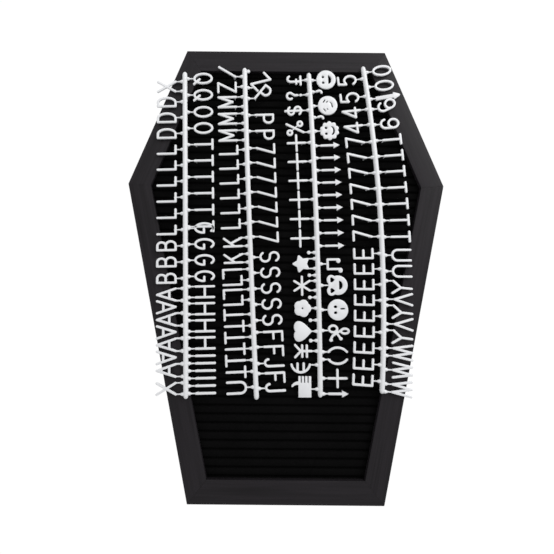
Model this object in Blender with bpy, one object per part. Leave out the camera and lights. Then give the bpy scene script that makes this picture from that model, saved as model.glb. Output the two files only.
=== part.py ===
"""Felt letter board in a coffin-shaped frame, lying face up, with four sprues of moulded letters on it.

Metres. +X is the board's right, +Y its top and +Z its front. The origin is the middle of the back.
"""

import math

import bmesh
import bpy
from mathutils import Matrix, Vector
from mathutils.geometry import delaunay_2d_cdt

MM = 0.001

# Board outline
HEIGHT = 420 * MM
TOP_WIDTH = 195 * MM
SHOULDER_WIDTH = 300 * MM
BOTTOM_WIDTH = 173 * MM
SHOULDER_DROP = 134 * MM

# Frame moulding
RAIL_WIDTH = 20.7 * MM
RAIL_DEPTH = 16 * MM
LIP_DEPTH = 4.8 * MM
REBATE_WIDTH = 6.5 * MM
OUTER_EDGE_RADIUS = 1.0 * MM
INNER_EDGE_RADIUS = 0.6 * MM
MITRE_GAP = 0.3 * MM

# Panel behind the frame's lip, front to back
SEAT_GAP = 0.3 * MM
PANEL_CLEARANCE = 0.5 * MM
GROOVE_PITCH = 7.62 * MM
GROOVE_WIDTH = 1.0 * MM
GROOVE_DEPTH = 2.4 * MM
LOWEST_GROOVE = 0.8 * MM
FELT_THICKNESS = 0.9 * MM
CORE_THICKNESS = 4.2 * MM
BACKING_THICKNESS = 2.2 * MM

# Glazing points that hold the backing in
POINTS_PER_RAIL = (2, 1, 3, 2, 3, 1)
POINT_WIDTH = 6 * MM
POINT_THICKNESS = 0.6 * MM
POINT_IN_WOOD = 6 * MM
POINT_OVER_BACKING = 8 * MM

# V nails across the mitres
NAIL_ARM = 5 * MM
NAIL_SPREAD = 35
NAIL_THICKNESS = 0.8 * MM
NAIL_DEPTH = 7 * MM
NAIL_INSET = 0.4 * MM

# Sawtooth hanger on the backing
HANGER_LENGTH = 46 * MM
HANGER_WIDTH = 8 * MM
HANGER_THICKNESS = 0.7 * MM
HANGER_ARCH = 0.9 * MM
HANGER_END = 8 * MM
HANGER_BEND = 3 * MM
HANGER_DROP = 18 * MM
TOOTH_COUNT = 9
TOOTH_DEPTH = 1.6 * MM
SCREW_SHANK = 1.2 * MM
SCREW_HEAD = 2.6 * MM
SCREW_HEAD_HEIGHT = 0.9 * MM
SCREW_REACH = 4.2 * MM

# Moulded letters
CAP_HEIGHT = 19 * MM
STROKE = 2.1 * MM
LETTER_THICKNESS = 1.8 * MM
RUNNER_RADIUS = 2.3 * MM
RUNNER_TAPER = 3 * MM
RUNNER_SEGMENTS = 6
GATE_LENGTH = 5.8 * MM
GATE_FOOT = 3.2 * MM
GATE_TIP = 1.3 * MM
ROOT_IN_RUNNER = 0.7 * MM
TURN_FACETS = 9
GENTLE_BEND = 0.2
END_OVERRUN = 0.8
GATE_REACH = 0.03
STRAIGHT = 0.02

MATERIALS = {
    "charcoal_paint": ((0.030, 0.028, 0.033), 0.55, 0.0),
    "black_felt": ((0.006, 0.006, 0.006), 0.95, 0.0),
    "raw_board": ((0.30, 0.20, 0.12), 0.85, 0.0),
    "hardboard": ((0.20, 0.12, 0.07), 0.8, 0.0),
    "zinc_steel": ((0.55, 0.55, 0.56), 0.35, 1.0),
    "white_plastic": ((0.85, 0.85, 0.87), 0.35, 0.0),
}


# Materials and objects


def clear_scene():
    for old in list(bpy.data.objects):
        bpy.data.objects.remove(old, do_unlink=True)


def material(name):
    made = bpy.data.materials.get(name)
    if made is None:
        colour, roughness, metallic = MATERIALS[name]
        made = bpy.data.materials.new(name)
        made.use_nodes = True
        shader = made.node_tree.nodes["Principled BSDF"]
        shader.inputs["Base Color"].default_value = (*colour, 1)
        shader.inputs["Roughness"].default_value = roughness
        shader.inputs["Metallic"].default_value = metallic
    return made


def add_object(name, bm, finish):
    bmesh.ops.recalc_face_normals(bm, faces=bm.faces)
    mesh = bpy.data.meshes.new(name)
    bm.to_mesh(mesh)
    bm.free()
    made = bpy.data.objects.new(name, mesh)
    bpy.context.scene.collection.objects.link(made)
    if finish:
        mesh.materials.append(material(finish))
    return made


def add_tool(name, bm):
    tool = add_object(name, bm, None)
    tool.hide_render = True
    tool.display_type = "WIRE"
    return tool


def boolean(target, tool, operation):
    change = target.modifiers.new(tool.name, "BOOLEAN")
    change.operation = operation
    change.solver = "EXACT"
    change.object = tool
    return change


# Solids from outlines


def bridge_rings(bm, rings):
    """Joins rings of equal length into a tube and caps both ends."""
    loops = [[bm.verts.new(point) for point in ring] for ring in rings]
    count = len(rings[0])
    for low, high in zip(loops, loops[1:]):
        for i in range(count):
            j = (i + 1) % count
            bm.faces.new((low[i], low[j], high[j], high[i]))
    bm.faces.new(list(reversed(loops[0])))
    bm.faces.new(loops[-1])


def prism(outlines, low, high):
    """One upright block for each outline, between two heights."""
    bm = bmesh.new()
    for outline in outlines:
        bridge_rings(bm, [[(x, y, z) for x, y in outline] for z in (low, high)])
    return bm


# Frame


def board_corners():
    """The coffin's six outer corners, anticlockwise from the top right."""
    top, bottom = HEIGHT / 2, -HEIGHT / 2
    shoulder = top - SHOULDER_DROP
    right = [(TOP_WIDTH / 2, top), (SHOULDER_WIDTH / 2, shoulder), (BOTTOM_WIDTH / 2, bottom)]
    left = [(-x, y) for x, y in right]
    return [Vector(p) for p in (right[0], left[0], left[1], left[2], right[2], right[1])]


def edge_direction(corners, i):
    return (corners[(i + 1) % len(corners)] - corners[i]).normalized()


def inward(direction):
    return Vector((-direction.y, direction.x))


def inset_corner(corners, i, distance):
    """Corner i of the outline moved in by the same distance from both its edges."""
    before, after = edge_direction(corners, i - 1), edge_direction(corners, i)
    bisector = (inward(before) + inward(after)).normalized()
    return corners[i] + bisector * distance / bisector.dot(inward(after))


def inset_outline(distance):
    corners = board_corners()
    return [inset_corner(corners, i, distance) for i in range(len(corners))]


def half_width(outline, y):
    """Half the width of a symmetric outline at one height on the board."""
    for i, a in enumerate(outline):
        b = outline[(i + 1) % len(outline)]
        if a.x > 0 and b.x > 0 and min(a.y, b.y) <= y <= max(a.y, b.y):
            return a.x + (b.x - a.x) * (y - a.y) / (b.y - a.y)
    raise ValueError(f"no side at {y}")


def rail_profile():
    """The moulding's section as (distance in from the outer edge, height)."""
    wall = RAIL_WIDTH - REBATE_WIDTH
    lip_back = RAIL_DEPTH - LIP_DEPTH
    section = [(wall, 0.0), (0.0, 0.0)]
    for centre, radius, start in (
        (OUTER_EDGE_RADIUS, OUTER_EDGE_RADIUS, 180),
        (RAIL_WIDTH - INNER_EDGE_RADIUS, INNER_EDGE_RADIUS, 90),
    ):
        for turn in (0, 45, 90):
            angle = math.radians(start - turn)
            across = centre + radius * math.cos(angle)
            section.append((across, RAIL_DEPTH - radius + radius * math.sin(angle)))
    return section + [(RAIL_WIDTH, lip_back), (wall, lip_back)]


RAIL_NAMES = ["top", "upper_left", "lower_left", "bottom", "lower_right", "upper_right"]


def make_rails():
    corners = board_corners()
    rails = []
    for i, name in enumerate(RAIL_NAMES):
        along = edge_direction(corners, i)
        rings = []
        for corner, way in ((i, 1), ((i + 1) % len(corners), -1)):
            turn = edge_direction(corners, corner - 1).angle(edge_direction(corners, corner))
            pull = along * way * MITRE_GAP / 2 / math.cos(turn / 2)
            ring = []
            for distance, z in rail_profile():
                place = inset_corner(corners, corner, distance) + pull
                ring.append((place.x, place.y, z))
            rings.append(ring)
        bm = bmesh.new()
        bridge_rings(bm, rings)
        rails.append(add_object(f"frame_rail_{name}", bm, "charcoal_paint"))
    return rails


def felt_top():
    return RAIL_DEPTH - LIP_DEPTH - SEAT_GAP


def core_top():
    return felt_top() - FELT_THICKNESS - SEAT_GAP


def backing_top():
    return core_top() - CORE_THICKNESS - SEAT_GAP


def backing_back():
    return backing_top() - BACKING_THICKNESS


# Mitre nails and glazing points


def nail_outline(corner, clearance):
    """A V across the mitre at one corner, seen from the back."""
    corners = board_corners()
    outer = corners[corner]
    wall = RAIL_WIDTH - REBATE_WIDTH
    along_mitre = (inset_corner(corners, corner, wall) - outer).normalized()
    apex = (outer + inset_corner(corners, corner, wall)) / 2 - along_mitre * NAIL_ARM / 2
    arms = []
    for side in (1, -1):
        way = Matrix.Rotation(math.radians(side * NAIL_SPREAD), 2) @ along_mitre
        arms.append(apex + way * (NAIL_ARM + clearance))
    return ribbon_outline([arms[0], apex, arms[1]], NAIL_THICKNESS / 2 + clearance)


def ribbon_outline(path, half):
    """The outline of a bent strip, mitred at its bends and cut square at its ends."""
    left, right = [], []
    for i, point in enumerate(path):
        ways = []
        if i > 0:
            ways.append((point - path[i - 1]).normalized())
        if i < len(path) - 1:
            ways.append((path[i + 1] - point).normalized())
        side = sum((inward(way) for way in ways), Vector((0, 0))).normalized()
        reach = side * half / side.dot(inward(ways[0]))
        left.append(point + reach)
        right.append(point - reach)
    return left + list(reversed(right))


def make_mitre_nails(rails):
    low, high = NAIL_INSET, NAIL_INSET + NAIL_DEPTH
    for i in range(len(rails)):
        name = f"mitre_nail_{i + 1}"
        add_object(name, prism([nail_outline(i, 0.0)], low, high), "zinc_steel")
        slot = add_tool(f"{name}_slot", prism([nail_outline(i, SEAT_GAP)], -MM, high + SEAT_GAP))
        boolean(rails[i], slot, "DIFFERENCE")
        boolean(rails[i - 1], slot, "DIFFERENCE")


def point_outline(place, inside, clearance):
    """A flat steel point: square over the backing and pointed in the wood."""
    outward = -inside
    side = inward(inside) * (POINT_WIDTH / 2 + clearance)
    tail = place + inside * POINT_OVER_BACKING
    shoulder = place + outward * POINT_IN_WOOD / 2
    tip = place + outward * (POINT_IN_WOOD + clearance)
    return [tail - side, tail + side, shoulder + side, tip, shoulder - side]


def make_glazing_points(rails):
    corners = board_corners()
    wall = RAIL_WIDTH - REBATE_WIDTH
    high = backing_back() - SEAT_GAP
    low = high - POINT_THICKNESS
    number = 0
    for i, (rail, count) in enumerate(zip(rails, POINTS_PER_RAIL)):
        start, end = inset_corner(corners, i, wall), inset_corner(corners, (i + 1) % 6, wall)
        inside = inward(edge_direction(corners, i))
        slots = []
        for k in range(count):
            place = start.lerp(end, (k + 0.5) / count)
            number += 1
            body = prism([point_outline(place, inside, 0.0)], low, high)
            add_object(f"glazing_point_{number}", body, "zinc_steel")
            slots.append(point_outline(place, inside, SEAT_GAP))
        tool = add_tool(f"{rail.name}_point_slots", prism(slots, low - SEAT_GAP, high + SEAT_GAP))
        boolean(rail, tool, "DIFFERENCE")


# Ribbed felt, slotted core and backing


def panel_outline():
    return inset_outline(RAIL_WIDTH - REBATE_WIDTH + PANEL_CLEARANCE)


def groove_heights():
    """The middle of each groove, from the lowest up, as places on the board."""
    inner = inset_outline(RAIL_WIDTH)
    low, high = min(p.y for p in inner), max(p.y for p in inner)
    first = low + LOWEST_GROOVE
    count = int((high - first) / GROOVE_PITCH) + 1
    return [first + GROOVE_PITCH * i for i in range(count)]


def grooved_line(width, top, bottom):
    """A line up the board at one height that dips into every groove, as (y, z) points."""
    outline = panel_outline()
    low, high = min(p.y for p in outline), max(p.y for p in outline)
    line = [(low, top)]
    for middle in groove_heights():
        line.append((middle - width / 2, top))
        line.append((middle - width / 2, bottom))
        line.append((middle + width / 2, bottom))
        line.append((middle + width / 2, top))
    return line + [(high, top)]


def with_point_at(line, y):
    """The line with one more point where it passes the given y."""
    for i, (a, b) in enumerate(zip(line, line[1:])):
        if a[0] < y < b[0]:
            z = a[1] + (b[1] - a[1]) * (y - a[0]) / (b[0] - a[0])
            return line[: i + 1] + [(y, z)] + line[i + 1 :]
    return line


def across_board(name, front, back, finish):
    """A panel between two lines up the board, run from side to side of the panel's outline."""
    outline = panel_outline()
    shoulder = outline[2].y
    section = with_point_at(front, shoulder) + list(reversed(with_point_at(back, shoulder)))
    bm = bmesh.new()
    ends = []
    for side in (-1, 1):
        ends.append([bm.verts.new((side * half_width(outline, y), y, z)) for y, z in section])
    for i in range(len(section)):
        j = (i + 1) % len(section)
        bm.faces.new((ends[0][i], ends[0][j], ends[1][j], ends[1][i]))
    for end in ends:
        bm.faces.new([v for v, (y, z) in zip(end, section) if y <= shoulder])
        bm.faces.new([v for v, (y, z) in zip(end, section) if y >= shoulder])
    return add_object(name, bm, finish)


def make_felt():
    top = felt_top()
    front = grooved_line(GROOVE_WIDTH, top, top - GROOVE_DEPTH)
    fold = GROOVE_WIDTH + 2 * FELT_THICKNESS
    under = top - FELT_THICKNESS
    back = grooved_line(fold, under, under - GROOVE_DEPTH)
    return across_board("felt_face", front, back, "black_felt")


def make_core():
    top = core_top()
    slot = GROOVE_WIDTH + 2 * FELT_THICKNESS + 2 * SEAT_GAP
    front = grooved_line(slot, top, top - GROOVE_DEPTH)
    back = [(y, top - CORE_THICKNESS) for y in (front[0][0], front[-1][0])]
    return across_board("core_board", front, back, "raw_board")


def make_backing():
    bm = prism([[tuple(p) for p in panel_outline()]], backing_back(), backing_top())
    return add_object("backing_board", bm, "hardboard")


# Hanger


def hanger_middle():
    inner = inset_outline(RAIL_WIDTH)
    return max(p.y for p in inner) - HANGER_DROP


def make_hanger():
    """A steel strip, flat at its ends, arched between them, with teeth along its lower edge."""
    seat = backing_back() - SEAT_GAP
    half = HANGER_LENGTH / 2
    arch_start = half - HANGER_END
    arch_end = arch_start - HANGER_BEND
    pitch = 2 * arch_end / TOOTH_COUNT
    places = [(half, 0.0, 0.0), (arch_start, 0.0, 0.0), (arch_end, HANGER_ARCH, 0.0)]
    for i in range(TOOTH_COUNT):
        root = arch_end - pitch * (i + 0.5)
        places.append((root, HANGER_ARCH, TOOTH_DEPTH))
        places.append((root - pitch / 2, HANGER_ARCH, 0.0))
    places += [(-arch_start, 0.0, 0.0), (-half, 0.0, 0.0)]
    upper = hanger_middle() + HANGER_WIDTH / 2
    lower = hanger_middle() - HANGER_WIDTH / 2
    rings = []
    for x, drop, bite in places:
        front, back = seat - drop, seat - drop - HANGER_THICKNESS
        edge = lower + bite
        rings.append([(x, upper, front), (x, edge, front), (x, edge, back), (x, upper, back)])
    bm = bmesh.new()
    bridge_rings(bm, rings)
    return add_object("sawtooth_hanger", bm, "zinc_steel")


def ring(x, y, z, radius, sides=8):
    turns = [math.tau * i / sides for i in range(sides)]
    return [(x + radius * math.cos(a), y + radius * math.sin(a), z) for a in turns]


def make_hanger_screws(*through):
    """Two screws through the hanger and the backing into the core, with their holes."""
    under_head = backing_back() - 2 * SEAT_GAP - HANGER_THICKNESS
    tip = under_head + SCREW_REACH
    y = hanger_middle()
    holes = []
    for side, name in ((-1, "left"), (1, "right")):
        x = side * (HANGER_LENGTH - HANGER_END) / 2
        bm = bmesh.new()
        levels = [
            (under_head - SCREW_HEAD_HEIGHT, SCREW_HEAD * 0.7),
            (under_head - SCREW_HEAD_HEIGHT / 2, SCREW_HEAD),
            (under_head, SCREW_HEAD),
            (under_head, SCREW_SHANK),
            (tip - SCREW_SHANK, SCREW_SHANK),
            (tip, SCREW_SHANK / 4),
        ]
        bridge_rings(bm, [ring(x, y, z, radius) for z, radius in levels])
        add_object(f"hanger_screw_{name}", bm, "zinc_steel")
        holes.append([p[:2] for p in ring(x, y, 0, SCREW_SHANK + SEAT_GAP)])
    tool = add_tool("hanger_screw_holes", prism(holes, -MM, tip + SEAT_GAP))
    for piece in through:
        boolean(piece, tool, "DIFFERENCE")


# Letter shapes. One unit is the height of a capital between the middles of its strokes.
# Each glyph has strokes, filled outlines, holes, and the places of its gates at foot and head.


def arc(x, y, rx, ry, start, end):
    """Points along an ellipse between two angles in degrees."""
    steps = max(2, round(abs(end - start) / 360 * TURN_FACETS))
    turns = [math.radians(start + (end - start) * i / steps) for i in range(steps + 1)]
    return [(x + rx * math.cos(a), y + ry * math.sin(a)) for a in turns]


def loop(x, y, rx, ry):
    """A closed ellipse, as a stroke that ends where it starts."""
    return arc(x, y, rx, ry, 90, 450)


def disc(x, y, radius, waves=0, depth=0.0, facets=TURN_FACETS + 4):
    """A filled round, plain or with a scalloped edge."""
    count = 2 * waves if waves else facets
    turns = [math.tau * i / count for i in range(count)]
    sizes = [radius + (depth if i % 2 else 0.0) for i in range(count)]
    return [(x + r * math.cos(a), y + r * math.sin(a)) for r, a in zip(sizes, turns)]


def star(x, y, radius, inner, points=5):
    turns = [math.pi / 2 + math.pi * i / points for i in range(2 * points)]
    sizes = [inner if i % 2 else radius for i in range(2 * points)]
    return [(x + r * math.cos(a), y + r * math.sin(a)) for r, a in zip(sizes, turns)]


def heart(x, y, size):
    """The usual heart curve, scaled so that its width is the size."""
    points = []
    for i in range(TURN_FACETS + 4):
        a = math.tau * i / (TURN_FACETS + 4)
        wide = 16 * math.sin(a) ** 3
        tall = 13 * math.cos(a) - 5 * math.cos(2 * a) - 2 * math.cos(3 * a) - math.cos(4 * a)
        points.append((x + wide * size / 32, y + tall * size / 32))
    return points


def square(x, y, half):
    return [(x - half, y - half), (x + half, y - half), (x + half, y + half), (x - half, y + half)]


def smile(y, half, depth):
    """A mouth: flat above and curved below."""
    return arc(0, y, half, depth, 180, 360)


def face(*cuts, edge=None):
    """A round face with its features cut through."""
    return {"fills": [edge or disc(0, 0.56, 0.56)], "holes": list(cuts), "gates": (0,), "heads": (0,)}


def glyphs():
    eyes = [disc(-0.17, 0.73, 0.08, facets=6), disc(0.17, 0.73, 0.08, facets=6)]
    winks = [[(x, 0.80), (2 * x, 0.68), (2 * x, 0.73), (x, 0.85)] for x in (-0.17, 0.17)]
    crescent = [*smile(0.42, 0.25, 0.16), *reversed(smile(0.45, 0.2, 0.09))]
    cross = [[(-0.29, 0), (0.29, 1)], [(0.29, 0), (-0.29, 1)]]
    finger_gaps = [[(0.2, y), (0.6, y), (0.6, y + 0.05), (0.2, y + 0.05)] for y in (0.09, 0.27, 0.45)]
    asterisk = [[(-0.49, 0.45), (0.49, 0.45)], [(-0.26, 0.03), (0.26, 0.87)], [(0.26, 0.03), (-0.26, 0.87)]]
    link = [(0.15, 0.24), (0.19, 0.28), (-0.14, 0.64), (-0.18, 0.6)]
    yen_arms = [[(0, 0), (0, 0.58), (-0.32, 0.88)], [(0, 0.58), (0.32, 0.88)]]
    return {
        "A": {"strokes": [[(-0.32, 0), (0, 1)], [(0.32, 0), (0, 1)], [(-0.2, 0.34), (0.2, 0.34)]],
              "gates": (-0.32, 0.32), "heads": (0,)},
        "B": {"strokes": [[(-0.22, 0), (-0.22, 1), *arc(0.02, 0.77, 0.19, 0.23, 90, -90), (-0.22, 0.54)],
                          [*arc(0.04, 0.27, 0.22, 0.27, 90, -90), (-0.22, 0)]],
              "gates": (0,)},
        "D": {"strokes": [[(-0.25, 0), (-0.25, 1), *arc(-0.02, 0.5, 0.27, 0.5, 90, -90), (-0.25, 0)]],
              "gates": (0,)},
        "E": {"strokes": [[(0.25, 1), (-0.25, 1), (-0.25, 0), (0.25, 0)], [(-0.25, 0.5), (0.17, 0.5)]],
              "gates": (0,)},
        "F": {"strokes": [[(-0.22, 0), (-0.22, 1), (0.26, 1)], [(-0.22, 0.52), (0.14, 0.52)]],
              "gates": (-0.22,)},
        "G": {"strokes": [[*arc(0, 0.5, 0.26, 0.5, 50, 345), (0.25, 0.48), (0.03, 0.48)]], "gates": (0,)},
        "H": {"strokes": [[(-0.29, 0), (-0.29, 1)], [(0.29, 0), (0.29, 1)], [(-0.29, 0.5), (0.29, 0.5)]],
              "gates": (-0.29, 0.29)},
        "I": {"strokes": [[(0, 0), (0, 1)]], "gates": (0,)},
        "J": {"strokes": [[(0.16, 1), *arc(-0.02, 0.19, 0.18, 0.19, 0, -180)]], "gates": (0,)},
        "K": {"strokes": [[(-0.2, 0), (-0.2, 1)], [(0.24, 1), (-0.2, 0.4)], [(-0.03, 0.6), (0.26, 0)]],
              "gates": (-0.2, 0.26)},
        "L": {"strokes": [[(-0.2, 1), (-0.2, 0), (0.26, 0)]], "gates": (0.03,), "heads": (-0.2,)},
        "M": {"strokes": [[(-0.29, 0), (-0.29, 1)], [(-0.29, 1), (0, 0.2)], [(0, 0.2), (0.29, 1)],
                          [(0.29, 1), (0.29, 0)]],
              "gates": (-0.29, 0.29)},
        "O": {"strokes": [loop(0, 0.5, 0.28, 0.5)], "gates": (0,)},
        "P": {"strokes": [[(-0.22, 0), (-0.22, 1), *arc(0.03, 0.74, 0.22, 0.26, 90, -90), (-0.22, 0.48)]],
              "gates": (-0.22,)},
        "Q": {"strokes": [loop(0, 0.5, 0.28, 0.5), [(0.04, 0.3), (0.32, -0.02)]], "gates": (0,)},
        "S": {"strokes": [[*arc(0, 0.75, 0.24, 0.25, 25, 240), *arc(0, 0.26, 0.25, 0.26, 70, -150)]],
              "gates": (0,)},
        "T": {"strokes": [[(0, 0), (0, 1)], [(-0.27, 1), (0.27, 1)]], "gates": (0,), "heads": (0,)},
        "U": {"strokes": [[(-0.29, 1), *arc(0, 0.29, 0.29, 0.29, 180, 360), (0.29, 1)]], "gates": (0,)},
        "V": {"strokes": [[(-0.3, 1), (0, 0)], [(0, 0), (0.3, 1)]], "gates": (0,)},
        "W": {"strokes": [[(-0.38, 1), (-0.2, 0)], [(-0.2, 0), (0, 1)], [(0, 1), (0.2, 0)],
                          [(0.2, 0), (0.38, 1)]],
              "gates": (-0.2, 0.2), "heads": (0,)},
        "X": {"strokes": cross, "gates": (-0.29, 0.29)},
        "Y": {"strokes": [[(0, 0), (0, 0.45), (-0.33, 1)], [(0, 0.45), (0.33, 1)]],
              "gates": (0,), "heads": (-0.33,)},
        "Z": {"strokes": [[(-0.27, 1), (0.27, 1)], [(0.27, 1), (-0.27, 0)], [(-0.27, 0), (0.27, 0)]],
              "gates": (0.02,)},
        "/": {"strokes": [[(0, 0), (0.6, 0.93)]], "gates": (0,)},
        "0": {"strokes": [loop(0, 0.5, 0.26, 0.5)], "gates": (0,)},
        "4": {"strokes": [[(0.12, 0), (0.12, 1)], [(0.12, 1), (-0.28, 0.28)], [(-0.28, 0.28), (0.28, 0.28)]],
              "gates": (0.12,)},
        "5": {"strokes": [[(0.24, 1), (-0.18, 1), (-0.22, 0.58), *arc(0, 0.33, 0.26, 0.33, 110, -150)]],
              "gates": (0,)},
        "6": {"strokes": [loop(0.03, 0.3, 0.25, 0.28), [*arc(0.03, 0.74, 0.25, 0.27, 10, 180), (-0.22, 0.3)]],
              "gates": (0,), "heads": (0.03,)},
        "7": {"strokes": [[(-0.25, 1), (0.25, 1)], [(0.25, 1), (-0.06, 0)]], "gates": (-0.06,)},
        "£": {"strokes": [[(-0.25, -0.04), (0.23, -0.04)], [(-0.18, 0.21), (0.05, 0.21)],
                          [(-0.06, -0.04), *arc(0.11, 0.5, 0.17, 0.2, 180, 40)]],
              "gates": (0,)},
        "?": {"strokes": [[*arc(-0.03, 0.61, 0.185, 0.175, 213, -50), (0, 0.34), (0, 0.2)]],
              "fills": [square(0, 0, 0.075)], "gates": (0,), "gate_reach": 0.3},
        "$": {"strokes": [[*arc(0, 0.6, 0.22, 0.18, 25, 240), *arc(0, 0.22, 0.23, 0.19, 70, -150)],
                          [(0, -0.03), (0, 0.93)]],
              "gates": (0,)},
        "%": {"strokes": [[(-0.25, -0.05), (0.25, 0.9)], loop(0.25, 0.14, 0.13, 0.13),
                          loop(-0.25, 0.73, 0.13, 0.13)],
              "fills": [link], "gates": (-0.25,)},
        "&": {"strokes": [loop(0.1, 0.8, 0.18, 0.22), loop(-0.02, 0.16, 0.13, 0.21),
                          [(-0.5, 0.93), (-0.25, 0.83), (0, 0.4)], [(-0.04, 0.68), (-0.43, 0.38)]],
              "gates": (-0.02,), "heads": (0.02,)},
        "€": {"strokes": [arc(0.27, 0.5, 0.49, 0.5, 100, 260), [(-0.19, 0.67), (0.24, 0.67)],
                          [(-0.19, 0.34), (0.24, 0.34)]],
              "gates": (0.17,)},
        "¥": {"strokes": [*yen_arms, [(-0.3, 0.5), (0.3, 0.5)], [(-0.3, 0.25), (0.3, 0.25)]], "gates": (0,)},
        "(": {"strokes": [arc(0.42, 0.5, 0.55, 0.62, 126, 234)], "gates": (0.1,), "heads": (0.1,)},
        ")": {"strokes": [arc(-0.42, 0.5, 0.55, 0.62, 54, -54)], "gates": (-0.1,), "heads": (-0.1,)},
        "+": {"strokes": [[(0, 0), (0, 1)], [(-0.45, 0.5), (0.45, 0.5)]], "gates": (0,)},
        ".": {"fills": [disc(0, 0.03, 0.1, facets=6)], "gates": (0,)},
        ",": {"strokes": [[(-0.02, -0.16), (-0.06, 0), (-0.02, 0.09), (0.07, 0.13)]], "gates": (0,),
              "gate_reach": -0.1},
        "arrow": {"strokes": [[(0, 0), (0, 0.8)]], "fills": [[(-0.18, 0.7), (0.18, 0.7), (0, 1.05)]],
                  "gates": (0,)},
        "asterisk": {"strokes": asterisk, "gates": (-0.26, 0.26)},
        "star": {"fills": [star(0, 0.45, 0.51, 0.27)], "gates": (-0.27, 0.27), "gate_reach": 0.12},
        "heart": {"fills": [heart(0, 0.55, 1.06)], "gates": (0,), "gate_reach": 0.1},
        "flower": {"fills": [disc(0, 0.46, 0.43, 5, 0.06)], "holes": [square(0, 0.46, 0.05)], "gates": (0,),
                   "gate_reach": 0.1},
        "thumb": {"fills": [[(-0.55, -0.06), (0.55, -0.06), (0.55, 0.63), (0.27, 0.63), (0.22, 0.85),
                             (0.06, 1), (-0.02, 0.98), (0.09, 0.78), (0.1, 0.63), (-0.55, 0.63)]],
                  "holes": finger_gaps, "gates": (-0.12,)},
        "notes": {"strokes": [[(-0.26, 0.31), (-0.26, 1), (0.27, 1), (0.27, 0.42)]],
                  "fills": [disc(-0.35, 0.31, 0.14, facets=6), disc(0.18, 0.42, 0.14, facets=6)],
                  "gates": (-0.28,), "heads": (0.03,)},
        "smiling": face(*eyes, smile(0.45, 0.25, 0.18)),
        "winking": face(*winks, [(0.2, 0.47), (0.03, 0.36), (-0.13, 0.34), (-0.13, 0.29), (0.05, 0.31),
                                 (0.2, 0.42)]),
        "surprised": face(*eyes, [(0.03, 0.24), (0.09, 0.24), (0.09, 0.46), (0.03, 0.46)]),
        "scalloped": face(*eyes, crescent, edge=disc(0, 0.55, 0.47, 10, 0.08)),
        "adoring": {"fills": [disc(0, 0.47, 0.53), disc(-0.3, 0.83, 0.26, facets=8),
                              disc(0.3, 0.83, 0.26, facets=8)],
                    "holes": [[(-0.29, 0.67), (-0.17, 0.86), (-0.41, 0.86)],
                              [(0.29, 0.67), (0.41, 0.86), (0.17, 0.86)], smile(0.41, 0.24, 0.2)],
                    "gates": (0,), "heads": (0,)},
        "peg": {"fills": [[(-0.11, -0.1), (0.11, -0.1), (0.11, 0.93), (0.22, 0.95), (0, 1.33), (-0.22, 0.95),
                           (-0.11, 0.93)]],
                "gates": (0,)},
    }


# Sprues. Each row lists glyph, first place, pitch, count and, where needed, how the glyph is turned.
# Places are millimetres from the runner's lower end. A flipped glyph has its head to the runner.

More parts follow.
